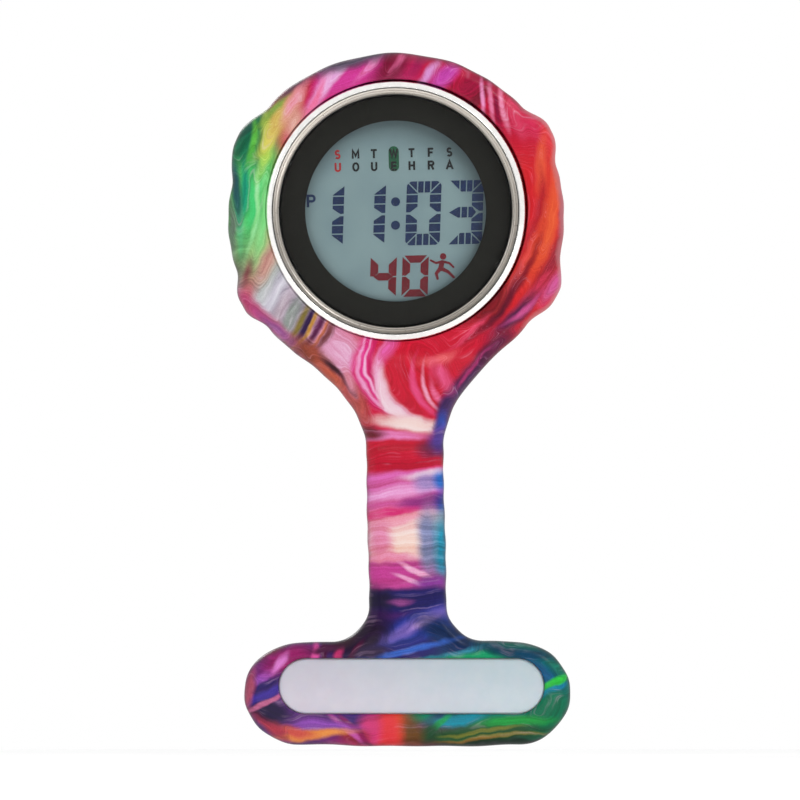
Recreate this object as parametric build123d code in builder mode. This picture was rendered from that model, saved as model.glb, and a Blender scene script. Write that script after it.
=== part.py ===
from build123d import *
from math import cos, radians, sin
import os

# Digital fob watch in a printed silicone holder, in millimetres.
# The origin lies on the brooch needle's axis, at the middle of the bar. +X is to the right of
# someone who looks at the dial, +Z runs from the bar up to the dial, and the dial faces -Y.

# ---- silicone holder ----
BAR_LENGTH = 40.5
BAR_HEIGHT = 13.1
BAR_BACK = -2.6          # Y of the bar's flat back
BAR_DEPTH = 5.0
NECK_WIDTH = 9.6
NECK_BACK = -2.8
NECK_DEPTH = 4.6
NECK_FOOT_X = 0.32       # where the neck's centreline leaves the bar's axis
NECK_LEAN = 1.15         # degrees that the neck leans to the left
NECK_FOOT_Z = 11.0       # the neck's free length starts here
NECK_TOP_Z = 31.0        # and ends here
BAR_FILLET = 4.2
FLARE_FILLET = 14.0
HEAD_BACK = -1.9
HEAD_DEPTH = 10.5
HEAD_RADIUS = 20.8
HEAD_TOP_Z = 84.0        # above the holder's top: the side profile is cut off here
SHOULDER_FOOT_Z = 31.8   # where the front starts to rise from the neck to the head
SHOULDER_TOP_Z = 41.4
EDGE_ROUND = 1.0

# ---- dial axis: every watch piece is placed by it ----
DIAL_X = -1.41
DIAL_Z = 59.8
LEAN = 1.35              # degrees that the head is turned to the left
HOLDER_SHIFT = (0.1, -0.95)   # centre of the holder's round, seen from the dial centre

# ---- buttons ----
BUTTONS = {              # name: angle from the dial's own +X, radius of the silicone bump
    "upper_right": (25.5, 21.8),
    "upper_left": (154.5, 21.8),
    "lower_left": (209.2, 22.4),
    "lower_right": (330.8, 22.4),
}
BUTTON_HEIGHT = 5.45     # above the head's back
BUMP_TOP = 4.2
BUMP_SIDE_ANGLE = 52
BUMP_SLOPE = 1.28        # tangent of the side angle
BUMP_FILLET = 1.6
BUMP_ROOT_R = 18.5
BUTTON_SKIN = 2.0        # silicone left over the end of a pusher
CAVITY_GAP = 0.15        # room round a pusher in the silicone
STEM_R = 0.6
PUSHER_R = 1.6
STEM_TIP = 13.2          # radii along the button's axis, from the dial centre
CLIP_AT = 13.7
CLIP_GAUGE = 0.18
CLIP_R = 0.95
GROOVE_R = 0.4
SEAL_AT = 14.5
SEAL_WIDTH = 0.4
SEAL_R = 0.95
SEAL_GAP = 0.03
SPRING_SEAT = 15.05
SPRING_R = 1.05
SPRING_WIRE = 0.09
SPRING_TURNS = 4
PUSHER_SEAT = 16.7
RUNNING = 0.05           # radial clearance of a sliding fit

# ---- watch case, as radii and as heights above the head's back ----
CASE_R = 15.6
CASE_INNER_R = 14.3
CASE_FLOOR = 1.1
CASE_FLOOR_TOP = 2.2
CASE_FLOOR_R = 11.7
CASE_TOP = 8.3
BACK_R = 14.2
BACK_BOTTOM = 0.2
BACK_CHAMFER = 0.25
BACK_RING_R = 11.0
BACK_OPENING_R = 14.45
CASE_SCREW_AT = 13.2
CASE_SCREW_R = 0.45
CASE_SCREW_HEAD_R = 0.8
SLOT_WIDTH = 0.25
LIP_R = 16.5             # the silicone's round front opening
GASKET_R = (11.85, 12.4)
GASKET_DEPTH = 0.4
BEZEL_R = 16.0
BEZEL_TOP = 10.9
BEZEL_WINDOW_R = 14.4
BEZEL_BAND_R = 15.2
BEZEL_GROOVE = 0.15
BEZEL_ROUND = 0.3
CRYSTAL_R = 15.0
CRYSTAL_BOTTOM = 8.9
CRYSTAL_TOP = 10.0
MASK_R = 11.2
MASK_BOTTOM = 8.1
MASK_TOP = 8.85

# ---- display and movement ----
LCD_HALF = 11.45
LCD_CORNER_R = 13.7
REAR_GLASS_HALF = (10.8, 9.3)   # the rear glass leaves the front glass's ledge free
REFLECTOR_BOTTOM = 6.1
REAR_GLASS_BOTTOM = 6.3
FRONT_GLASS_BOTTOM = 7.1
FRONT_GLASS_TOP = 7.8
POLARIZER_TOP = 7.95
HOUSING_R = 14.2
PCB_R = 13.6
PCB_BOTTOM = 3.6
PCB_TOP = 4.4
GUIDE_SIZE = (18.6, 14.6)
GUIDE_BOTTOM = 4.95
GUIDE_TOP = 6.0
ZEBRA_SIZE = (14.6, 1.5)
ZEBRA_AT = 10.3
LED_SIZE = (2.2, 1.2)
LED_HEIGHT = 1.2
PART_ROW = -8.3          # row of small parts on the board, below the light guide
PART_ROOM = 0.85
POCKET_GAP = 0.1
NOTCH_R = 12.2           # a notch in the housing lets each pusher's stem reach its contact
NOTCH_WIDTH = 2.4
CONTACT_R = 12.3
CONTACT_GAUGE = 0.18
CONTACT_WIDTH = 1.6
CONTACT_HEIGHT = 1.6
CHIP_R = 3.4
CHIP_HEIGHT = 0.45
CAN_R = 0.72
CAN_X = 2.4
CAN_LENGTH = 5.0
CAPACITOR_HEIGHT = 0.6
BATTERY_R = 10.0
BATTERY_BOTTOM = 1.7
BATTERY_TOP = 3.3
BATTERY_CAN = 1.3
BATTERY_CAP_R = 8.6
CONTACT_PAD_R = 4.0
STRAP_BOTTOM = 1.45
STRAP_GAUGE = 0.2
STRAP_HALF = 10.55
STRAP_WIDTH = 4.0
CARRIER_R = 14.1
CARRIER_FOOT_R = 11.5
CARRIER_FOOT = 1.35
CARRIER_STEP = 2.3
MODULE_SCREW_AT = 12.9
MODULE_SCREW_R = 0.4
MODULE_SCREW_HEAD_R = 0.75
MODULE_SCREW_HEAD = 0.5
MODULE_SCREW_TOP = 5.7
PIEZO_R = 11.4
PIEZO_TOP = 1.3
BUZZER_AT = 10.75
BUZZER_R = 0.38
BUZZER_WIRE = 0.12
BUZZER_TURNS = 4

# ---- brooch on the back of the bar ----
PLATE_FRONT = (33.0, 6.95)      # the oval that shows in the bar
PLATE_FLANGE = (36.0, 9.4)
PLATE_SHIFT = (0.56, 0.93)      # centre of the front oval from the bar's centre
PLATE_FRONT_Y = -7.25
FLANGE_FRONT_Y = -5.0
FLANGE_BACK_Y = -3.5
BASE_SIZE = (28.0, 4.4)
BASE_GAUGE = 0.6
BASE_BACK = BAR_BACK + BASE_GAUGE
HINGE_X = -12.4
HINGE_R = 0.5
EYE_R = 1.25
EYE_HALF = 1.3
EAR_INNER = 1.6
EAR_TOP = 1.1
NEEDLE_R = 0.45
NEEDLE_ROOT_X = -10.8
NEEDLE_TAPER_X = 9.2
NEEDLE_TIP_X = 12.2
CATCH_X = (10.2, 12.4)
CATCH_R = (1.25, 1.75)
CATCH_SLOT = 1.3
ROTOR_R = 0.62
LEVER_X = (12.5, 13.1)
LEVER_REACH = 3.2
LEVER_WIDTH = 1.2
CATCH_FOOT = 2.4
RIVET_AT = 8.0
RIVET_R = 0.6
RIVET_HEAD_R = 1.0
RIVET_HEAD = 0.5
RIVET_GRIP = 3.4         # depth of the rivets in the plate
PIN_HALF = 2.4
COLLAR_R = 0.7
NEEDLE_POINT_R = 0.06
PLATE_EDGE = 0.3

os.makedirs("parts", exist_ok=True)


def front_plane(y):
    """Plane at depth y that faces the viewer: its x is +X, its y is +Z, its normal is -Y."""
    return Plane(origin=(0, y, 0), x_dir=(1, 0, 0), z_dir=(0, -1, 0))


def dial_plane(height):
    """Plane across the dial axis, at a height above the head's back, facing the viewer."""
    x_dir = (cos(radians(LEAN)), 0, sin(radians(LEAN)))
    return Plane(origin=(DIAL_X, HEAD_BACK - height, DIAL_Z), x_dir=x_dir, z_dir=(0, -1, 0))


def back_plane(height):
    """The same plane, facing the wearer's coat."""
    x_dir = (cos(radians(LEAN)), 0, sin(radians(LEAN)))
    return Plane(origin=(DIAL_X, HEAD_BACK - height, DIAL_Z), x_dir=x_dir, z_dir=(0, 1, 0))


def dial_side():
    """Plane along the dial axis: its x is the radius, its y is the height above the head's back."""
    turn = radians(LEAN)
    return Plane(origin=(DIAL_X, HEAD_BACK, DIAL_Z), x_dir=(cos(turn), 0, sin(turn)),
                 z_dir=(sin(turn), 0, -cos(turn)))


def dial_axis():
    return Axis((DIAL_X, HEAD_BACK, DIAL_Z), (0, -1, 0))


def button_plane(angle, radius):
    """Plane across a button's axis, at a radius from the dial axis, facing outwards."""
    turn = radians(angle + LEAN)
    out = (cos(turn), 0, sin(turn))
    origin = (DIAL_X + radius * out[0], HEAD_BACK - BUTTON_HEIGHT, DIAL_Z + radius * out[2])
    return Plane(origin=origin, x_dir=(0, -1, 0), z_dir=out)


def save(piece, name):
    """Label a finished piece and write it under its node name."""
    piece.part.label = name
    export_step(piece.part, f"parts/{name}.step")


def ring_between(outer, inner, bottom, top):
    """Solid ring on the dial axis."""
    with BuildPart() as ring:
        with BuildSketch(dial_plane(bottom)):
            Circle(outer)
            Circle(inner, mode=Mode.SUBTRACT)
        extrude(amount=top - bottom)
    return ring


def lcd_sheet(half_width, half_height, bottom, top):
    """Glass or film of the display: a rectangle whose corners follow the case."""
    with BuildPart() as sheet:
        with BuildSketch(dial_plane(bottom)):
            Rectangle(2 * half_width, 2 * half_height)
            Circle(LCD_CORNER_R, mode=Mode.INTERSECT)
        extrude(amount=top - bottom)
    return sheet


def coil(plane, radius, wire, length, turns):
    """Helical spring that stands on a plane."""
    with BuildPart() as spring:
        with BuildLine(plane):
            rise = length - 2 * wire
            path = Helix(rise / turns, rise, radius, center=(0, 0, wire), direction=plane.z_dir)
        with BuildSketch(Plane(origin=path @ 0, z_dir=path % 0)):
            Circle(wire)
        sweep(path=path, is_frenet=True)
    return spring


# ================================================================ silicone holder
with BuildPart() as holder:
    with BuildSketch(front_plane(HEAD_BACK + 1)) as outline:
        SlotOverall(BAR_LENGTH, BAR_HEIGHT)
        with Locations(Location((NECK_FOOT_X, 0, 0), (0, 0, NECK_LEAN))):
            Rectangle(NECK_WIDTH, DIAL_Z - HEAD_RADIUS, align=(Align.CENTER, Align.MIN))
        with Locations((DIAL_X + HOLDER_SHIFT[0], DIAL_Z + HOLDER_SHIFT[1])):
            Circle(HEAD_RADIUS)
        bar_corners = outline.vertices().filter_by(lambda v: abs(v.Y - BAR_HEIGHT / 2) < 0.2)
        fillet(bar_corners.filter_by(lambda v: abs(v.X) < NECK_WIDTH), BAR_FILLET)
        fillet(outline.vertices().filter_by_position(Axis.Y, 36, 41), FLARE_FILLET)
        smooth = outline.vertices()
        for angle, bump_r in BUTTONS.values():
            rise = bump_r - BUMP_ROOT_R
            spot = Location((DIAL_X, DIAL_Z, 0), (0, 0, angle + LEAN - 90))
            with Locations(spot * Location((0, BUMP_ROOT_R, 0))):
                foot = BUMP_TOP + 2 * rise / BUMP_SLOPE
                Trapezoid(foot, rise, BUMP_SIDE_ANGLE, align=(Align.CENTER, Align.MIN))
        above = outline.vertices().filter_by(lambda v: v.Y > SHOULDER_TOP_Z)
        bump_corners = above.filter_by(lambda v: all((v.center() - s.center()).length > 0.1 for s in smooth))
        fillet(bump_corners, BUMP_FILLET)
    extrude(amount=HEAD_DEPTH + 2)
    with BuildSketch(Plane.YZ) as side:
        with BuildLine():
            top = HEAD_TOP_Z
            bar_bottom = -BAR_HEIGHT
            head_front = HEAD_BACK - HEAD_DEPTH
            neck_front = NECK_BACK - NECK_DEPTH
            bar_front = BAR_BACK - BAR_DEPTH
            mid = ((head_front + neck_front) / 2, (SHOULDER_TOP_Z + SHOULDER_FOOT_Z) / 2)
            face = Line((head_front, top), (head_front, SHOULDER_TOP_Z))
            upper = TangentArc(face @ 1, mid, tangent=face % 1)
            lower = TangentArc(upper @ 1, (neck_front, SHOULDER_FOOT_Z), tangent=upper % 1)
            Polyline(lower @ 1, (neck_front, NECK_FOOT_Z), (bar_front, BAR_HEIGHT / 2),
                     (bar_front, bar_bottom), (BAR_BACK, bar_bottom), (BAR_BACK, BAR_HEIGHT / 2),
                     (NECK_BACK, NECK_FOOT_Z), (NECK_BACK, SHOULDER_FOOT_Z),
                     (HEAD_BACK, SHOULDER_TOP_Z), (HEAD_BACK, top), (head_front, top))
        make_face()
    extrude(amount=BAR_LENGTH, both=True, mode=Mode.INTERSECT)
    walls = holder.faces().filter_by(lambda f: abs(f.normal_at().Y) < 0.001)
    rims = holder.edges().filter_by(lambda e: sum(e in wall.edges() for wall in walls) == 1)
    fillet(rims, EDGE_ROUND)

with BuildPart() as sleeve_bar:
    add(holder.part)
    split(bisect_by=Plane.XY.offset(NECK_FOOT_Z), keep=Keep.BOTTOM)
    with BuildSketch(front_plane(BAR_BACK)):
        with Locations(PLATE_SHIFT):
            SlotOverall(*PLATE_FRONT)
    extrude(amount=BAR_DEPTH, mode=Mode.SUBTRACT)
    with BuildSketch(front_plane(FLANGE_BACK_Y)):
        with Locations(PLATE_SHIFT):
            SlotOverall(*PLATE_FLANGE)
    extrude(amount=FLANGE_BACK_Y - FLANGE_FRONT_Y, mode=Mode.SUBTRACT)
save(sleeve_bar, "sleeve_bar")

with BuildPart() as sleeve_neck:
    add(holder.part)
    split(bisect_by=Plane.XY.offset(NECK_FOOT_Z), keep=Keep.TOP)
    split(bisect_by=Plane.XY.offset(NECK_TOP_Z), keep=Keep.BOTTOM)
save(sleeve_neck, "sleeve_neck")

with BuildPart() as sleeve_head:
    add(holder.part)
    split(bisect_by=Plane.XY.offset(NECK_TOP_Z), keep=Keep.TOP)
    for radius, bottom in ((BACK_OPENING_R, 0), (CASE_R, CASE_FLOOR), (LIP_R, CASE_TOP)):
        with BuildSketch(dial_plane(bottom)):
            Circle(radius)
        extrude(amount=HEAD_DEPTH, mode=Mode.SUBTRACT)
    for angle, bump_r in BUTTONS.values():
        with BuildSketch(button_plane(angle, CASE_INNER_R)):
            Circle(PUSHER_R + CAVITY_GAP)
        extrude(amount=bump_r - BUTTON_SKIN + CAVITY_GAP - CASE_INNER_R, mode=Mode.SUBTRACT)
save(sleeve_head, "sleeve_head")

# ================================================================ watch case
with BuildPart() as case_body:
    with BuildSketch(dial_plane(CASE_FLOOR)):
        Circle(CASE_R)
    extrude(amount=CASE_TOP - CASE_FLOOR)
    with BuildSketch(dial_plane(CASE_FLOOR_TOP)):
        Circle(CASE_INNER_R)
    extrude(amount=CASE_TOP, mode=Mode.SUBTRACT)
    with BuildSketch(dial_plane(CASE_FLOOR)):
        Circle(CASE_FLOOR_R)
    extrude(amount=CASE_TOP, mode=Mode.SUBTRACT)
    with BuildSketch(dial_plane(CASE_FLOOR)):
        Circle(GASKET_R[1])
        Circle(GASKET_R[0], mode=Mode.SUBTRACT)
    extrude(amount=GASKET_DEPTH, mode=Mode.SUBTRACT)
    with BuildSketch(dial_plane(CASE_FLOOR)):
        with PolarLocations(CASE_SCREW_AT, 4):
            Circle(CASE_SCREW_R)
    extrude(amount=CASE_FLOOR_TOP - CASE_FLOOR, mode=Mode.SUBTRACT)
    for angle, bump_r in BUTTONS.values():
        bores = ((STEM_R + RUNNING, STEM_TIP, CASE_R + 1), (SEAL_R, SEAL_AT, SEAL_AT + SEAL_WIDTH),
                 (SPRING_R + 2 * SPRING_WIRE, SPRING_SEAT, CASE_R + 1))
        for radius, start, end in bores:
            with BuildSketch(button_plane(angle, start)):
                Circle(radius)
            extrude(amount=end - start, mode=Mode.SUBTRACT)
save(case_body, "case_body")

with BuildPart() as bezel:
    with BuildSketch(dial_side()):
        with BuildLine():
            outer = Line((BEZEL_R, CASE_TOP), (BEZEL_R, BEZEL_TOP - BEZEL_ROUND))
            crown = TangentArc(outer @ 1, (BEZEL_R - BEZEL_ROUND, BEZEL_TOP), tangent=outer % 1)
            Polyline(crown @ 1,
                     (BEZEL_BAND_R + BEZEL_GROOVE, BEZEL_TOP),
                     (BEZEL_BAND_R + BEZEL_GROOVE, BEZEL_TOP - BEZEL_GROOVE),
                     (BEZEL_BAND_R, BEZEL_TOP - BEZEL_GROOVE),
                     (BEZEL_BAND_R, BEZEL_TOP),
                     (BEZEL_WINDOW_R + BEZEL_GROOVE, BEZEL_TOP),
                     (BEZEL_WINDOW_R, BEZEL_TOP - BEZEL_ROUND),
                     (BEZEL_WINDOW_R, CRYSTAL_TOP),
                     (CRYSTAL_R + RUNNING, CRYSTAL_TOP),
                     (CRYSTAL_R + RUNNING, CASE_TOP),
                     (BEZEL_R, CASE_TOP))
        make_face()
    revolve(axis=dial_axis())
save(bezel, "bezel")

with BuildPart() as crystal:
    with BuildSketch(dial_plane(CRYSTAL_BOTTOM)):
        Circle(CRYSTAL_R)
    extrude(amount=CRYSTAL_TOP - CRYSTAL_BOTTOM)
save(crystal, "crystal")
save(ring_between(CRYSTAL_R, BEZEL_WINDOW_R, CASE_TOP, CRYSTAL_BOTTOM), "crystal_gasket")
save(ring_between(HOUSING_R, MASK_R, MASK_BOTTOM, MASK_TOP), "dial_mask_ring")
save(ring_between(GASKET_R[1], GASKET_R[0], CASE_FLOOR, CASE_FLOOR + GASKET_DEPTH), "case_gasket")

with BuildPart() as case_back:
    with BuildSketch(dial_plane(BACK_BOTTOM)):
        Circle(BACK_R)
    extrude(amount=CASE_FLOOR - BACK_BOTTOM)
    outer_rim = case_back.faces().sort_by(Axis.Y)[-1].edges()
    chamfer(outer_rim, BACK_CHAMFER)
    with Locations(back_plane(BACK_BOTTOM)):
        with PolarLocations(CASE_SCREW_AT, 4):
            CounterSinkHole(CASE_SCREW_R + RUNNING, CASE_SCREW_HEAD_R + RUNNING)
    with BuildSketch(dial_plane(BACK_BOTTOM)):
        Circle(BACK_RING_R)
        Circle(BACK_RING_R - BEZEL_GROOVE, mode=Mode.SUBTRACT)
    extrude(amount=BEZEL_GROOVE, mode=Mode.SUBTRACT)
save(case_back, "case_back")

with BuildPart() as case_screws:
    with BuildSketch(dial_side()):
        with BuildLine():
            Polyline((CASE_SCREW_AT, BACK_BOTTOM),
                     (CASE_SCREW_AT + CASE_SCREW_HEAD_R, BACK_BOTTOM),
                     (CASE_SCREW_AT + CASE_SCREW_R, BACK_BOTTOM + CASE_SCREW_HEAD_R - CASE_SCREW_R),
                     (CASE_SCREW_AT + CASE_SCREW_R, CASE_FLOOR_TOP),
                     (CASE_SCREW_AT, CASE_FLOOR_TOP),
                     close=True)
        make_face()
    screw_foot = dial_side().from_local_coords((CASE_SCREW_AT, 0, 0))
    revolve(axis=Axis(screw_foot, (0, -1, 0)))
    with BuildSketch(back_plane(BACK_BOTTOM)):
        with Locations((CASE_SCREW_AT, 0)):
            Rectangle(SLOT_WIDTH, 2 * CASE_SCREW_HEAD_R)
    extrude(amount=-SLOT_WIDTH, mode=Mode.SUBTRACT)
    one_screw = case_screws.part
    for quarter in (1, 2, 3):
        add(one_screw.rotate(dial_axis(), 90 * quarter))
save(case_screws, "case_screws")

# ================================================================ display
save(lcd_sheet(LCD_HALF, LCD_HALF, FRONT_GLASS_BOTTOM, FRONT_GLASS_TOP), "lcd_front_glass")
save(lcd_sheet(*REAR_GLASS_HALF, REAR_GLASS_BOTTOM, FRONT_GLASS_BOTTOM), "lcd_rear_glass")
save(lcd_sheet(LCD_HALF, LCD_HALF, FRONT_GLASS_TOP, POLARIZER_TOP), "lcd_polarizer")
save(lcd_sheet(*REAR_GLASS_HALF, REFLECTOR_BOTTOM, REAR_GLASS_BOTTOM), "lcd_reflector")

with BuildPart() as light_guide:
    with BuildSketch(dial_plane(GUIDE_BOTTOM)):
        RectangleRounded(*GUIDE_SIZE, 0.5)
        with Locations((0, -GUIDE_SIZE[1] / 2)):
            Rectangle(*LED_SIZE, align=(Align.CENTER, Align.MIN), mode=Mode.SUBTRACT)
    extrude(amount=GUIDE_TOP - GUIDE_BOTTOM)
save(light_guide, "light_guide")

with BuildPart() as module_housing:
    with BuildSketch(dial_plane(PCB_TOP)):
        Circle(HOUSING_R)
    extrude(amount=MASK_BOTTOM - PCB_TOP)
    with BuildSketch(dial_plane(REFLECTOR_BOTTOM)):
        Rectangle(2 * LCD_HALF + POCKET_GAP, 2 * LCD_HALF + POCKET_GAP)
        Circle(LCD_CORNER_R + POCKET_GAP, mode=Mode.INTERSECT)
    extrude(amount=MASK_BOTTOM, mode=Mode.SUBTRACT)
    with BuildSketch(dial_plane(PCB_TOP)):
        with Locations((0, PART_ROW - PART_ROOM)):
            Rectangle(GUIDE_SIZE[0] + POCKET_GAP, GUIDE_SIZE[1] / 2 - PART_ROW + PART_ROOM + POCKET_GAP,
                      align=(Align.CENTER, Align.MIN))
        with Locations((0, ZEBRA_AT), (0, -ZEBRA_AT)):
            Rectangle(*ZEBRA_SIZE)
        with PolarLocations(MODULE_SCREW_AT, 4, start_angle=45):
            Circle(MODULE_SCREW_R)
    extrude(amount=REFLECTOR_BOTTOM - PCB_TOP, mode=Mode.SUBTRACT)
    for angle, bump_r in BUTTONS.values():
        with BuildSketch(dial_plane(PCB_TOP)):
            with Locations(Rotation(0, 0, angle) * Location((NOTCH_R, 0, 0))):
                Rectangle(NOTCH_WIDTH, NOTCH_WIDTH, align=(Align.MIN, Align.CENTER))
        extrude(amount=2 * (BUTTON_HEIGHT - PCB_TOP), mode=Mode.SUBTRACT)
save(module_housing, "module_housing")

with BuildPart() as zebra_strips:
    with BuildSketch(dial_plane(PCB_TOP)):
        with Locations((0, ZEBRA_AT), (0, -ZEBRA_AT)):
            Rectangle(*ZEBRA_SIZE)
    extrude(amount=FRONT_GLASS_BOTTOM - PCB_TOP)
save(zebra_strips, "zebra_strips")

# ================================================================ movement
with BuildPart() as circuit_board:
    with BuildSketch(dial_plane(PCB_BOTTOM)):
        Circle(PCB_R)
        with PolarLocations(MODULE_SCREW_AT, 4, start_angle=45):
            Circle(MODULE_SCREW_R + RUNNING, mode=Mode.SUBTRACT)
    extrude(amount=PCB_TOP - PCB_BOTTOM)
save(circuit_board, "circuit_board")

with BuildPart() as chip_blob:
    with BuildSketch(dial_plane(PCB_TOP)):
        Circle(CHIP_R)
    extrude(amount=CHIP_HEIGHT)
    fillet(chip_blob.edges().sort_by(Axis.Y)[0], CHIP_HEIGHT * 0.8)
save(chip_blob, "chip_blob")

with BuildPart() as backlight_led:
    with BuildSketch(dial_plane(PCB_TOP)):
        with Locations((0, -GUIDE_SIZE[1] / 2)):
            Rectangle(LED_SIZE[0] - POCKET_GAP, LED_SIZE[1] - POCKET_GAP, align=(Align.CENTER, Align.MIN))
    extrude(amount=LED_HEIGHT)
save(backlight_led, "backlight_led")

with BuildPart() as quartz_crystal:
    can_end = dial_plane(PCB_TOP + CAN_R)
    can_origin = can_end.from_local_coords((CAN_X, PART_ROW, 0))
    with BuildSketch(Plane(origin=can_origin, z_dir=can_end.x_dir)):
        Circle(CAN_R)
    extrude(amount=CAN_LENGTH)
    fillet(quartz_crystal.edges().sort_by(Axis.X)[-1], 0.2)
save(quartz_crystal, "quartz_crystal")

with BuildPart() as board_capacitors:
    with BuildSketch(dial_plane(PCB_TOP)):
        with Locations((-3.0, PART_ROW), (-5.4, PART_ROW), (-7.8, PART_ROW)):
            Rectangle(1.6, 0.8)
    extrude(amount=CAPACITOR_HEIGHT)
save(board_capacitors, "board_capacitors")

with BuildPart() as switch_contacts:
    for angle, bump_r in BUTTONS.values():
        with BuildSketch(dial_plane(PCB_TOP)):
            with Locations(Rotation(0, 0, angle) * Location((CONTACT_R, 0, 0))):
                Rectangle(CONTACT_GAUGE, CONTACT_WIDTH, align=(Align.MIN, Align.CENTER))
        extrude(amount=CONTACT_HEIGHT)
save(switch_contacts, "switch_contacts")

with BuildPart() as battery_carrier:
    with BuildSketch(dial_plane(CARRIER_STEP)):
        Circle(CARRIER_R)
    extrude(amount=PCB_BOTTOM - CARRIER_STEP)
    with BuildSketch(dial_plane(CARRIER_FOOT)):
        Circle(CARRIER_FOOT_R)
    extrude(amount=CARRIER_STEP - CARRIER_FOOT)
    with BuildSketch(dial_plane(CARRIER_FOOT)):
        Circle(BATTERY_R + POCKET_GAP)
        with Locations((0, BUZZER_AT)):
            Circle(BUZZER_R + BUZZER_WIRE + POCKET_GAP)
        with Locations((-STRAP_HALF, 0), (STRAP_HALF, 0)):
            Rectangle(STRAP_GAUGE, STRAP_WIDTH)
    extrude(amount=PCB_BOTTOM, mode=Mode.SUBTRACT)
    with BuildSketch(dial_plane(CARRIER_FOOT)):
        Rectangle(2 * STRAP_HALF + STRAP_GAUGE, STRAP_WIDTH)
    extrude(amount=STRAP_BOTTOM + STRAP_GAUGE - CARRIER_FOOT, mode=Mode.SUBTRACT)
    with Locations(back_plane(CARRIER_STEP)):
        with PolarLocations(MODULE_SCREW_AT, 4, start_angle=45):
            CounterBoreHole(MODULE_SCREW_R + RUNNING, MODULE_SCREW_HEAD_R + RUNNING, MODULE_SCREW_HEAD)
save(battery_carrier, "battery_carrier")

with BuildPart() as module_screws:
    for radius, bottom, top in ((MODULE_SCREW_HEAD_R, CARRIER_STEP, CARRIER_STEP + MODULE_SCREW_HEAD),
                                (MODULE_SCREW_R, CARRIER_STEP, MODULE_SCREW_TOP)):
        with BuildSketch(dial_plane(bottom)):
            with PolarLocations(MODULE_SCREW_AT, 4, start_angle=45):
                Circle(radius)
        extrude(amount=top - bottom)
save(module_screws, "module_screws")

with BuildPart() as battery:
    with BuildSketch(dial_plane(BATTERY_BOTTOM)):
        Circle(BATTERY_R)
    extrude(amount=BATTERY_CAN)
    fillet(battery.edges().sort_by(Axis.Y)[-1], 0.3)
    with BuildSketch(dial_plane(BATTERY_BOTTOM + BATTERY_CAN)):
        Circle(BATTERY_CAP_R)
    extrude(amount=BATTERY_TOP - BATTERY_BOTTOM - BATTERY_CAN)
save(battery, "battery")

with BuildPart() as battery_contact:
    with BuildSketch(dial_plane(BATTERY_TOP)):
        Circle(CONTACT_PAD_R)
        Rectangle(2 * CONTACT_PAD_R + 3, STRAP_WIDTH / 2)
    extrude(amount=PCB_BOTTOM - BATTERY_TOP)
save(battery_contact, "battery_contact")

with BuildPart() as battery_strap:
    with BuildSketch(dial_plane(STRAP_BOTTOM)):
        Rectangle(2 * STRAP_HALF + STRAP_GAUGE, STRAP_WIDTH)
    extrude(amount=STRAP_GAUGE)
    with BuildSketch(dial_plane(STRAP_BOTTOM)):
        with Locations((-STRAP_HALF, 0), (STRAP_HALF, 0)):
            Rectangle(STRAP_GAUGE, STRAP_WIDTH)
    extrude(amount=PCB_BOTTOM - STRAP_BOTTOM)
save(battery_strap, "battery_strap")

with BuildPart() as piezo_disc:
    with BuildSketch(dial_plane(CASE_FLOOR)):
        Circle(PIEZO_R)
    extrude(amount=PIEZO_TOP - CASE_FLOOR)
save(piezo_disc, "piezo_disc")

buzzer_foot = dial_plane(PIEZO_TOP)
buzzer_foot.origin = buzzer_foot.from_local_coords((0, BUZZER_AT, 0))
save(coil(buzzer_foot, BUZZER_R, BUZZER_WIRE, PCB_BOTTOM - PIEZO_TOP, BUZZER_TURNS), "buzzer_spring")

# ================================================================ buttons
for name, (angle, bump_r) in BUTTONS.items():
    with BuildPart() as pusher:
        for radius, start, end in ((STEM_R, STEM_TIP, PUSHER_SEAT),
                                   (PUSHER_R, PUSHER_SEAT, bump_r - BUTTON_SKIN)):
            with BuildSketch(button_plane(angle, start)):
                Circle(radius)
            extrude(amount=end - start)
        with BuildSketch(button_plane(angle, CLIP_AT)):
            Circle(STEM_R)
            Circle(GROOVE_R, mode=Mode.SUBTRACT)
        extrude(amount=CLIP_GAUGE, mode=Mode.SUBTRACT)
    save(pusher, f"pusher_{name}")

    with BuildPart() as clip:
        with BuildSketch(button_plane(angle, CLIP_AT)):
            Circle(CLIP_R)
            Circle(GROOVE_R, mode=Mode.SUBTRACT)
            with Locations((0, -CLIP_R)):
                Rectangle(GROOVE_R * 1.6, CLIP_R, mode=Mode.SUBTRACT)
        extrude(amount=CLIP_GAUGE)
    save(clip, f"pusher_clip_{name}")
    save(coil(button_plane(angle, SPRING_SEAT), SPRING_R, SPRING_WIRE, PUSHER_SEAT - SPRING_SEAT,
              SPRING_TURNS), f"pusher_spring_{name}")

with BuildPart() as pusher_seals:
    for angle, bump_r in BUTTONS.values():
        with BuildSketch(button_plane(angle, SEAL_AT)):
            Circle(SEAL_R)
            Circle(STEM_R + SEAL_GAP, mode=Mode.SUBTRACT)
        extrude(amount=SEAL_WIDTH)
save(pusher_seals, "pusher_seals")

# ================================================================ brooch
with BuildPart() as brooch_plate:
    for size, start, end in ((PLATE_FRONT, FLANGE_FRONT_Y, PLATE_FRONT_Y),
                             (PLATE_FLANGE, FLANGE_BACK_Y, FLANGE_FRONT_Y),
                             (PLATE_FRONT, BAR_BACK, FLANGE_BACK_Y)):
        with BuildSketch(front_plane(start)):
            with Locations(PLATE_SHIFT):
                SlotOverall(*size)
        extrude(amount=start - end)
    fillet(brooch_plate.faces().sort_by(Axis.Y)[0].edges(), PLATE_EDGE)
    with BuildSketch(front_plane(BAR_BACK)):
        with Locations((-RIVET_AT, 0), (RIVET_AT, 0)):
            Circle(RIVET_R)
    extrude(amount=RIVET_GRIP, mode=Mode.SUBTRACT)
save(brooch_plate, "brooch_plate")

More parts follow.
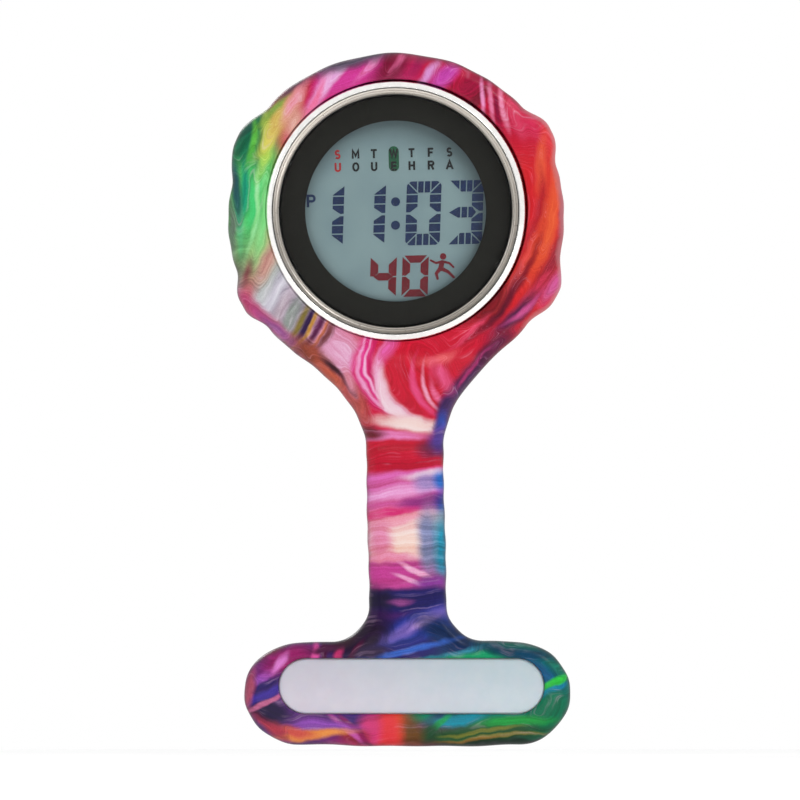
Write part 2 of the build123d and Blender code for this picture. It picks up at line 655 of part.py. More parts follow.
with BuildPart() as brooch_base:
    with BuildSketch(front_plane(BASE_BACK)):
        SlotOverall(*BASE_SIZE)
        with Locations((HINGE_X, 0)):
            Rectangle(2 * EYE_R, BASE_SIZE[1])
        with Locations((-RIVET_AT, 0), (RIVET_AT, 0)):
            Circle(RIVET_R, mode=Mode.SUBTRACT)
    extrude(amount=BASE_GAUGE)
    for side_sign in (-1, 1):
        ear_z = side_sign * (EAR_INNER + BASE_GAUGE / 2)
        with BuildSketch(Plane.ZX.offset(BASE_BACK)):
            with Locations((ear_z, HINGE_X)):
                Rectangle(BASE_GAUGE, 2 * EYE_R)
        extrude(amount=EAR_TOP - BASE_BACK)
    upright = brooch_base.edges().filter_by(Axis.Z).group_by(Axis.Y)[-1]
    fillet(upright, EYE_R * 0.9)
    with BuildSketch(Plane.XY):
        with Locations((HINGE_X, 0)):
            Circle(HINGE_R)
    extrude(amount=BASE_SIZE[1], both=True, mode=Mode.SUBTRACT)
save(brooch_base, "brooch_base")

with BuildPart() as brooch_rivets:
    with BuildSketch(front_plane(BASE_BACK)):
        with Locations((-RIVET_AT, 0), (RIVET_AT, 0)):
            Circle(RIVET_R)
    extrude(amount=BASE_GAUGE + RIVET_GRIP)
    with BuildSketch(front_plane(BASE_BACK + RIVET_HEAD)):
        with Locations((-RIVET_AT, 0), (RIVET_AT, 0)):
            Circle(RIVET_HEAD_R)
    extrude(amount=RIVET_HEAD)
    fillet(brooch_rivets.faces().group_by(Axis.Y)[-1].edges(), RIVET_HEAD * 0.7)
save(brooch_rivets, "brooch_rivets")

with BuildPart() as hinge_pin:
    with BuildSketch(Plane.XY):
        with Locations((HINGE_X, 0)):
            Circle(HINGE_R)
    extrude(amount=PIN_HALF, both=True)
save(hinge_pin, "hinge_pin")

with BuildPart() as brooch_needle:
    with BuildSketch(Plane.XY):
        with Locations((HINGE_X, 0)):
            Circle(EYE_R)
    extrude(amount=EYE_HALF, both=True)
    with BuildSketch(Plane.XY):
        with BuildLine():
            Polyline((HINGE_X, 0), (HINGE_X, COLLAR_R), (NEEDLE_ROOT_X, COLLAR_R),
                     (NEEDLE_ROOT_X, NEEDLE_R), (NEEDLE_TAPER_X, NEEDLE_R),
                     (NEEDLE_TIP_X, NEEDLE_POINT_R), (NEEDLE_TIP_X, 0), close=True)
        make_face()
    revolve(axis=Axis.X)
    with BuildSketch(Plane.XY):
        with Locations((HINGE_X, 0)):
            Circle(HINGE_R + RUNNING)
    extrude(amount=EYE_HALF, both=True, mode=Mode.SUBTRACT)
save(brooch_needle, "brooch_needle")

with BuildPart() as catch_housing:
    with BuildSketch(Plane.YZ.offset(CATCH_X[0])):
        Circle(CATCH_R[1])
        with Locations((BASE_BACK, 0)):
            Rectangle(-BASE_BACK, CATCH_FOOT, align=(Align.MIN, Align.CENTER))
        Circle(CATCH_R[0], mode=Mode.SUBTRACT)
        Rectangle(2 * CATCH_R[1], CATCH_SLOT, align=(Align.MIN, Align.CENTER), mode=Mode.SUBTRACT)
    extrude(amount=CATCH_X[1] - CATCH_X[0])
save(catch_housing, "catch_housing")

with BuildPart() as safety_catch:
    with BuildSketch(Plane.YZ.offset(CATCH_X[0])):
        Circle(CATCH_R[0] - RUNNING)
        Circle(ROTOR_R, mode=Mode.SUBTRACT)
        Rectangle(2 * CATCH_R[1], CATCH_SLOT, align=(Align.MIN, Align.CENTER), mode=Mode.SUBTRACT)
    extrude(amount=LEVER_X[1] - CATCH_X[0])
    with BuildSketch(Plane.YZ.offset(LEVER_X[0])):
        Circle(CATCH_R[1])
        with Locations((0, -LEVER_REACH)):
            Rectangle(LEVER_WIDTH, LEVER_REACH, align=(Align.CENTER, Align.MIN))
        Circle(ROTOR_R, mode=Mode.SUBTRACT)
        Rectangle(2 * CATCH_R[1], CATCH_SLOT, align=(Align.MIN, Align.CENTER), mode=Mode.SUBTRACT)
    extrude(amount=LEVER_X[1] - LEVER_X[0])
save(safety_catch, "safety_catch")
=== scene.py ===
import bmesh
import bpy
import math
import numpy as np
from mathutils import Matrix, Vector


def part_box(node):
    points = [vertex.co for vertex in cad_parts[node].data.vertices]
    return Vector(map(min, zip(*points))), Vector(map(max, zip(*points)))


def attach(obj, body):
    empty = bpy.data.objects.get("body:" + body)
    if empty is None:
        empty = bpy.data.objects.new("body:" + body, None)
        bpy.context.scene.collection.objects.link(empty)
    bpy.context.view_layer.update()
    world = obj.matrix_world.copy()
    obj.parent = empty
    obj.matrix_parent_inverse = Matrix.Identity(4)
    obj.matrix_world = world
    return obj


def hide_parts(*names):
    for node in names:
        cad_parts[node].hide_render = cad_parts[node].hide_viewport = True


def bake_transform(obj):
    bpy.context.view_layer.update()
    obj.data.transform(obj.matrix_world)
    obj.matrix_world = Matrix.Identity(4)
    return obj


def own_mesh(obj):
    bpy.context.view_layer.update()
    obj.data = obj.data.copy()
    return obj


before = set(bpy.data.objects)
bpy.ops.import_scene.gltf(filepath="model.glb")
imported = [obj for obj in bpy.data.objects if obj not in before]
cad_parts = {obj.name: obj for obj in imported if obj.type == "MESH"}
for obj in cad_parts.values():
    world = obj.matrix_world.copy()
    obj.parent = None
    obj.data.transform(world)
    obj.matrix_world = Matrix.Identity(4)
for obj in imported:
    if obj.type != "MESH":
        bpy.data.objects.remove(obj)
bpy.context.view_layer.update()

MM = 0.001

# ---- places, from the frame, in millimetres


def box_mm(node):
    """A CAD node's lowest and highest corners in millimetres."""
    low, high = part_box(node)
    return np.array(low) / MM, np.array(high) / MM


BEZEL_LOW, BEZEL_HIGH = box_mm("bezel")
BAR_LOW, BAR_HIGH = box_mm("sleeve_bar")
NECK_LOW, NECK_HIGH = box_mm("sleeve_neck")
HEAD_LOW, HEAD_HIGH = box_mm("sleeve_head")
PLATE_FRONT = box_mm("brooch_plate")[0][1]

DIAL_X = (BEZEL_LOW[0] + BEZEL_HIGH[0]) / 2
DIAL_Z = (BEZEL_LOW[2] + BEZEL_HIGH[2]) / 2
LEAN = math.radians(1.35)  # the head is turned a little to the left
HEAD_BACK = HEAD_HIGH[1]  # Y of the head's flat back
HEAD_FRONT = HEAD_LOW[1]
NECK_FRONT, NECK_BACK = NECK_LOW[1], NECK_HIGH[1]
BAR_FRONT, BAR_BACK = BAR_LOW[1], BAR_HIGH[1]
BAR_HALF = BAR_HIGH[0]
BAR_R = -BAR_LOW[2]

# ---- the holder's shape, in millimetres
HOLDER_R = 20.8
HOLDER_SHIFT = (0.1, -0.95)  # centre of the holder's round from the dial's centre
NECK_HALF = 4.8
NECK_FOOT_X = 0.32
NECK_LEAN = math.radians(1.15)
FLARE_ROUND = 8.2
BAR_ROUND = 4.7
BAR_BOW = 0.00018
SHOULDER = (31.8, 41.4)  # the front rises from the neck to the head between these heights
EDGE_ROUND = 1.7
LIP_R = 16.22
LIP_SHIFT = (0.13, 0.07)
LIP_ROUND = 0.32
BACK_OPENING_R = 14.45
POCKET_R = 15.65
POCKET = (1.1, 8.3)  # heights of the case above the head's back
WINDOW = (33.0, 6.95)  # the oval window in the bar
WINDOW_SHIFT = (0.56, 0.93)
FLANGE = (36.05, 9.45)  # the room for the plate's flange, its middle and half thickness
FLANGE_Y = PLATE_FRONT + 3.0
FLANGE_HALF = 0.8
WINDOW_ROUND = 0.22
VOXEL = 0.25
# each button's angle from the dial's own +X, and its bump's radius, half width and corner rounding
BUTTONS = {
    "upper_right": (26.2, 21.3, 1.95, 1.65),
    "upper_left": (154.2, 21.1, 3.1, 2.5),
    "lower_left": (210.5, 21.9, 1.65, 1.05),
    "lower_right": (330.6, 22.1, 2.2, 1.4),
}
BUMP_ROUND = 2.6


def round_union(a, b, r):
    """Union of two distances with a fillet of radius r."""
    ua, ub = np.maximum(r - a, 0), np.maximum(r - b, 0)
    return np.maximum(r, np.minimum(a, b)) - np.hypot(ua, ub)


def round_cut(a, b, r):
    """Intersection of two distances, its edge rounded by r."""
    ua, ub = np.maximum(r + a, 0), np.maximum(r + b, 0)
    return np.minimum(-r, np.maximum(a, b)) + np.hypot(ua, ub)


def smoothstep(t):
    t = np.clip(t, 0, 1)
    return t * t * (3 - 2 * t)


def slot_distance(x, z, size, centre):
    """Distance to a stadium of that overall length and height."""
    r = size[1] / 2
    u = np.maximum(np.abs(x - centre[0]) - (size[0] / 2 - r), 0)
    return np.hypot(u, z - centre[1]) - r


def outline_distance(x, z):
    """Distance in the XZ plane to the holder's outline, negative inside."""
    wobble = 0.05 * np.sin(0.83 * x + 0.4 * z) + 0.04 * np.sin(1.7 * z - 0.6 * x + 1.0)
    bowed = z * (1 + BAR_BOW * (x - 2) ** 2)  # the bar is a little slimmer towards its ends
    bar = slot_distance(x, bowed, (2 * BAR_HALF, 2 * BAR_R), (0, 0))
    across = (x - NECK_FOOT_X) * math.cos(NECK_LEAN) + z * math.sin(NECK_LEAN)
    neck = np.maximum(np.abs(across) - NECK_HALF, z - DIAL_Z)
    neck = np.maximum(neck, -z)
    head = np.hypot(x - DIAL_X - HOLDER_SHIFT[0], z - DIAL_Z - HOLDER_SHIFT[1]) - HOLDER_R
    # the top is a little flatter than a circle and its left side a little fuller
    head = head + 0.3 * smoothstep((z - DIAL_Z - 13) / 7)
    upper_left = z - DIAL_Z - x + DIAL_X
    head = head - 0.2 * smoothstep((upper_left - 22) / 7)
    for angle, peak, half, corner in BUTTONS.values():
        turn = math.radians(angle) + LEAN
        u = (x - DIAL_X) * math.cos(turn) + (z - DIAL_Z) * math.sin(turn)
        v = (z - DIAL_Z) * math.cos(turn) - (x - DIAL_X) * math.sin(turn)
        du = np.abs(u - (peak - 3)) - (3 - corner)
        dv = np.abs(v) - (half - corner)
        block = np.hypot(np.maximum(du, 0), np.maximum(dv, 0)) + np.minimum(np.maximum(du, dv), 0)
        head = round_union(head, block - corner, BUMP_ROUND)
    upper = round_union(head, neck, FLARE_ROUND)
    return np.where(z > SHOULDER[0] - 8, upper, round_union(bar, neck, BAR_ROUND)) + wobble


def front_y(z):
    """Y of the holder's front at a height."""
    t = np.clip((z - SHOULDER[0] + 2.5) / (SHOULDER[1] - SHOULDER[0] + 4), 0, 1)
    rise = t ** 3 * (6 * t * t - 15 * t + 10)
    drop = smoothstep((z - BAR_R - 0.5) / 3.5)
    return BAR_FRONT + (NECK_FRONT - BAR_FRONT) * drop + (HEAD_FRONT - NECK_FRONT) * rise


def back_y(z):
    rise = smoothstep((z - SHOULDER[0]) / (SHOULDER[1] - SHOULDER[0]))
    drop = smoothstep((z - BAR_R - 0.5) / 3.5)
    return BAR_BACK + (NECK_BACK - BAR_BACK) * drop + (HEAD_BACK - NECK_BACK) * rise


def holder_distance(x, y, z):
    """Distance to the holder's surface, negative inside the silicone."""
    plan = outline_distance(x, z)
    body = round_cut(plan, front_y(z) - y, EDGE_ROUND)
    body = round_cut(body, y - back_y(z), EDGE_ROUND * 0.5)
    radius = np.hypot(x - DIAL_X, z - DIAL_Z)
    above = HEAD_BACK - y
    lip = np.hypot(x - DIAL_X - LIP_SHIFT[0], z - DIAL_Z - LIP_SHIFT[1]) - LIP_R
    lip = np.maximum(lip, POCKET[1] - above)
    body = round_cut(body, -lip, LIP_ROUND)
    pocket = np.maximum(radius - POCKET_R, np.maximum(POCKET[0] - above, above - POCKET[1] - 0.1))
    body = np.maximum(body, -pocket)
    opening = np.maximum(radius - BACK_OPENING_R, above - POCKET[0] - 0.1)
    body = round_cut(body, -opening, LIP_ROUND)
    window = slot_distance(x, z, WINDOW, WINDOW_SHIFT)
    body = round_cut(body, -window, WINDOW_ROUND)
    flange = slot_distance(x, z, FLANGE, WINDOW_SHIFT)
    flange = np.maximum(flange, np.abs(y - FLANGE_Y) - FLANGE_HALF)
    return np.maximum(body, -flange)


# ---- meshes


def link(obj):
    bpy.context.scene.collection.objects.link(obj)
    return obj


def mesh_object(name, points_mm, faces, smooth=True):
    """A mesh object from points in millimetres and faces."""
    mesh = bpy.data.meshes.new(name)
    mesh.from_pydata((np.asarray(points_mm) * MM).tolist(), [], [list(map(int, f)) for f in faces])
    mesh.update()
    if smooth:
        mesh.polygons.foreach_set("use_smooth", [True] * len(mesh.polygons))
    return link(bpy.data.objects.new(name, mesh))


def surface_net(distance, low, high, step):
    """Points and quads of the zero surface of a distance, on a grid of that step."""
    axes = [np.arange(low[i], high[i] + step, step) for i in range(3)]
    x, y, z = np.meshgrid(*axes, indexing="ij")
    f = distance(x, y, z).astype(np.float32)
    inside = f < 0
    corners = [(i, j, k) for i in (0, 1) for j in (0, 1) for k in (0, 1)]
    size = [n - 1 for n in f.shape]

    def part(a, c):
        return a[c[0]:c[0] + size[0], c[1]:c[1] + size[1], c[2]:c[2] + size[2]]

    count = sum(part(inside, c).astype(np.int8) for c in corners)
    cells = np.argwhere((count > 0) & (count < 8))
    value = {c: f[cells[:, 0] + c[0], cells[:, 1] + c[1], cells[:, 2] + c[2]] for c in corners}
    total = np.zeros((len(cells), 3))
    hits = np.zeros(len(cells))
    for a in corners:
        for axis in range(3):
            if a[axis]:
                continue
            b = tuple(1 if i == axis else a[i] for i in range(3))
            cross = (value[a] < 0) != (value[b] < 0)
            t = value[a] / np.where(cross, value[a] - value[b], 1)
            spot = np.array(a, float)[None, :] + np.eye(3)[axis][None, :] * t[:, None]
            total += spot * cross[:, None]
            hits += cross
    points = np.array(low)[None, :] + (cells + total / hits[:, None]) * step
    index = -np.ones(size, np.int32)
    index[tuple(cells.T)] = np.arange(len(cells))
    quads = []
    for axis in range(3):
        b, c = (axis + 1) % 3, (axis + 2) % 3
        near = np.moveaxis(inside, (axis, b, c), (0, 1, 2))
        lookup = np.moveaxis(index, (axis, b, c), (0, 1, 2))
        change = np.argwhere(near[:-1, 1:-1, 1:-1] != near[1:, 1:-1, 1:-1])
        i, j, k = change[:, 0], change[:, 1] + 1, change[:, 2] + 1
        ends = (lookup[i, j - 1, k - 1], lookup[i, j, k - 1], lookup[i, j, k], lookup[i, j - 1, k])
        quad = np.stack(ends, 1)
        flip = ~near[i, j, k]
        quad[flip] = quad[flip][:, ::-1]
        quads.append(quad)
    return points, np.concatenate(quads)


def gradient(distance, p, h=0.02):
    g = np.stack([distance(*(p + h * e).T) - distance(*(p - h * e).T) for e in np.eye(3)], 1)
    return g / np.maximum(np.linalg.norm(g, axis=1, keepdims=True), 1e-9)


def settle(distance, points, rounds=3):
    """Moves the points on to the zero surface."""
    for _ in range(rounds):
        points = points - gradient(distance, points) * distance(*points.T)[:, None] * 0.9
    return points


def lathe(name, profile, steps=256):
    """A ring on the dial's axis: profile points are (radius, Y) in millimetres, listed round the section."""
    rows = []
    for k in range(steps):
        a = 2 * math.pi * k / steps
        rows.append([(DIAL_X + r * math.cos(a), y, DIAL_Z + r * math.sin(a)) for r, y in profile])
    n = len(profile)
    points = [p for row in rows for p in row]
    faces = []
    for k in range(steps):
        k2 = (k + 1) % steps
        for i in range(n):
            i2 = (i + 1) % n
            faces.append((k * n + i, k * n + i2, k2 * n + i2, k2 * n + i))
    obj = mesh_object(name, points, faces)
    tidy = bmesh.new()
    tidy.from_mesh(obj.data)
    bmesh.ops.remove_doubles(tidy, verts=tidy.verts, dist=1e-7)
    bmesh.ops.recalc_face_normals(tidy, faces=tidy.faces)
    tidy.to_mesh(obj.data)
    tidy.free()
    return obj


# ---- materials


class Shader:
    """Short ways to build a node material."""

    def __init__(self, name):
        self.material = bpy.data.materials.new(name)
        self.material.use_nodes = True
        self.tree = self.material.node_tree
        self.bsdf = self.tree.nodes["Principled BSDF"]

    def add(self, kind, sockets, **settings):
        """A node with those settings and input sockets."""
        node = self.tree.nodes.new(kind)
        for key, value in settings.items():
            setattr(node, key, value)
        for key, value in sockets.items():
            if value is not None:
                self.put(node.inputs[key], value)
        return node

    def put(self, socket, value):
        if isinstance(value, bpy.types.NodeSocket):
            self.tree.links.new(value, socket)
        else:
            socket.default_value = value

    def math(self, operation, a, b=None):
        return self.add("ShaderNodeMath", {0: a, 1: b}, operation=operation).outputs[0]

    def fused(self, a, b, c):
        """a times b plus c."""
        return self.add("ShaderNodeMath", {0: a, 1: b, 2: c}, operation="MULTIPLY_ADD").outputs[0]

    def vector(self, operation, a, b=None, scale=None):
        node = self.add("ShaderNodeVectorMath", {0: a, 1: b, "Scale": scale}, operation=operation)
        return node.outputs["Value" if operation == "LENGTH" else "Vector"]

    def split(self, vector):
        return self.add("ShaderNodeSeparateXYZ", {0: vector}).outputs

    def noise(self, vector, scale, detail=2.0, rough=0.5, out=0):
        sockets = {"Vector": vector, "Scale": scale, "Detail": detail, "Roughness": rough}
        return self.add("ShaderNodeTexNoise", sockets).outputs[out]

    def ramp(self, value, low, high, to_low=0.0, to_high=1.0, smooth=True):
        sockets = {"Value": value, "From Min": low, "From Max": high, "To Min": to_low, "To Max": to_high}
        kind = "SMOOTHSTEP" if smooth else "LINEAR"
        return self.add("ShaderNodeMapRange", sockets, interpolation_type=kind).outputs[0]

    def mix(self, factor, a, b, blend="MIX"):
        a, b = ((*c, 1.0) if isinstance(c, tuple) else c for c in (a, b))
        node = self.add("ShaderNodeMix", {0: factor, 6: a, 7: b}, data_type="RGBA", blend_type=blend)
        return node.outputs[2]

    def bump(self, relief, strength, distance):
        sockets = {"Strength": strength, "Distance": distance, "Height": relief}
        self.put(self.bsdf.inputs["Normal"], self.add("ShaderNodeBump", sockets).outputs[0])

    def set(self, **values):
        names = {"color": "Base Color", "metallic": "Metallic", "rough": "Roughness", "alpha": "Alpha",
                 "coat": "Coat Weight", "coat_rough": "Coat Roughness", "clear": "Transmission Weight",
                 "sss": "Subsurface Weight", "sss_scale": "Subsurface Scale",
                 "specular": "Specular IOR Level"}
        for key, value in values.items():
            self.put(self.bsdf.inputs[names[key]], (*value, 1.0) if isinstance(value, tuple) else value)
        return self.material

    def place(self):
        """Object coordinates in millimetres."""
        return self.vector("SCALE", self.add("ShaderNodeTexCoord", {}).outputs["Object"], scale=1000.0)


def srgb(r, g, b):
    """Linear colour from 0-255 display values."""
    def one(c):
        c /= 255
        return c / 12.92 if c <= 0.04045 else ((c + 0.055) / 1.055) ** 2.4
    return (one(r), one(g), one(b))


def plain(name, color, rough, grain=0.25, bump=0.1, **more):
    """A moulded or cast finish: colour and gloss vary a little with noise, over a fine bump."""
    s = Shader(name)
    at = s.place()
    cloud = s.noise(at, 3.0, 4.0, 0.6)
    dark = tuple(c * (1 - grain) for c in color)
    light = tuple(min(1, c * (1 + grain * 0.5)) for c in color)
    s.set(color=s.mix(s.ramp(cloud, 0.3, 0.7), dark, light),
          rough=s.ramp(cloud, 0.2, 0.8, rough * 0.85, min(1, rough * 1.15)), **more)
    s.bump(s.noise(at, 18.0, 3.0, 0.6), bump, 2e-5)
    return s.material


def brushed(name, color, rough, direction=(1.0, 14.0, 14.0), **more):
    """Drawn or rolled metal with fine lines along one direction."""
    s = Shader(name)
    at = s.vector("MULTIPLY", s.place(), direction)
    lines = s.noise(at, 2.2, 5.0, 0.65)
    cloud = s.math("MULTIPLY", s.noise(s.place(), 0.25, 2.0), 0.3)
    tone = s.math("ADD", s.math("MULTIPLY", lines, 0.7), cloud)
    s.set(color=s.mix(s.ramp(tone, 0.35, 0.65), tuple(c * 0.84 for c in color), color), metallic=1.0,
          rough=s.ramp(lines, 0.25, 0.75, rough * 0.75, rough * 1.3), **more)
    s.bump(lines, 0.25, 1.2e-5)
    return s.material


# ---- the silicone skin


def smooth_mesh(name, points, quads, edge):
    """The skin's own mesh: exact normals, the place at rest and the distance to the outline are stored."""
    obj = mesh_object(name, points, quads)
    mesh = obj.data
    normals = gradient(holder_distance, points)
    mesh.normals_split_custom_set_from_vertices(normals.tolist())
    rest = mesh.attributes.new("print_at", "FLOAT_VECTOR", "POINT")
    rest.data.foreach_set("vector", np.asarray(points, np.float32).ravel())
    rim = mesh.attributes.new("rim_at", "FLOAT", "POINT")
    rim.data.foreach_set("value", np.asarray(edge, np.float32))
    return obj


def cut_out(points, quads, keep):
    """The chosen quads with only their own points."""
    chosen = quads[keep]
    used = np.unique(chosen)
    index = -np.ones(len(points), int)
    index[used] = np.arange(len(used))
    return points[used], index[chosen]


PRESS_DEPTH = 2.0  # a button's patch of skin is cut out from this far in from its bump's peak, the length over which the real skin gives way when pressed
PATCH_MARGIN = 0.3  # a button's patch starts this much before that
PATCH_HALF = 8
SKIN_LOW = (-23.2, -13.2, -7.4)
SKIN_HIGH = (21.4, -1.2, 80.6)

skin_points, skin_quads = surface_net(holder_distance, SKIN_LOW, SKIN_HIGH, VOXEL)
skin_points = settle(holder_distance, skin_points)
face_middle = skin_points[skin_quads].mean(axis=1)
left_over = np.ones(len(skin_quads), bool)
patches = {}
for button, (angle, peak, *_) in BUTTONS.items():
    turn = math.radians(angle) + LEAN
    out = np.array((math.cos(turn), 0, math.sin(turn)))
    side = np.array((-math.sin(turn), 0, math.cos(turn)))
    from_dial = face_middle - np.array((DIAL_X, 0, DIAL_Z))
    start = peak - PRESS_DEPTH
    keep = (from_dial @ out > start - PATCH_MARGIN) & (np.abs(from_dial @ side) < PATCH_HALF)
    patches[button] = (keep, out, start, peak)
    left_over &= ~keep

skins = []


def skin_piece(name, keep):
    points, quads = cut_out(skin_points, skin_quads, keep)
    piece = smooth_mesh(name, points, quads, -outline_distance(points[:, 0], points[:, 2]))
    skins.append(piece)
    return piece


holder_skin = skin_piece("holder_skin", left_over)
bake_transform(holder_skin)
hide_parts("sleeve_head", "sleeve_neck", "sleeve_bar")
for button, (keep, out, start, peak) in patches.items():
    patch = skin_piece("button_skin_" + button, keep)
    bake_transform(patch)

# ---- the print on the silicone
# Each stroke: centre X and Z, half length, half width, turn in degrees, softness, colour, and for a curved
# one how far its ends bend to the side. Lengths are in millimetres. They are laid one over the other, first
# the broad grounds and then the streaks.
GROUNDS = [
    (0, 40, 200, 200, 0, 0.2, (206, 40, 86)), (14, 62, 14, 24, 0, 0.25, (214, 46, 56)),
    (3, 41, 13, 7, 0, 0.4, (208, 36, 66)), (-6, 81, 17, 8, 0, 0.3, (205, 52, 120)),
    (10, 76, 10, 7, -35, 0.4, (196, 30, 74)), (-21, 60, 6, 14, 0, 0.3, (108, 196, 108)),
    (-17, 49, 8, 8, 25, 0.4, (176, 160, 176)), (0, 3, 26, 8.5, 4, 0.3, (52, 44, 116)),
    (0, 29.5, 14, 3, 0, 0.2, (206, 30, 66)), (0, 25.2, 14, 2.6, 6, 0.25, (218, 110, 174)),
    (0, 19.2, 14, 3.4, 4, 0.25, (240, 202, 200)), (0, 14.6, 14, 2.3, 3, 0.25, (200, 84, 156)),
    (16, 0, 12, 9, 0, 0.35, (16, 120, 104)), (-15, -1, 8, 8, 0, 0.4, (104, 56, 128)),
]
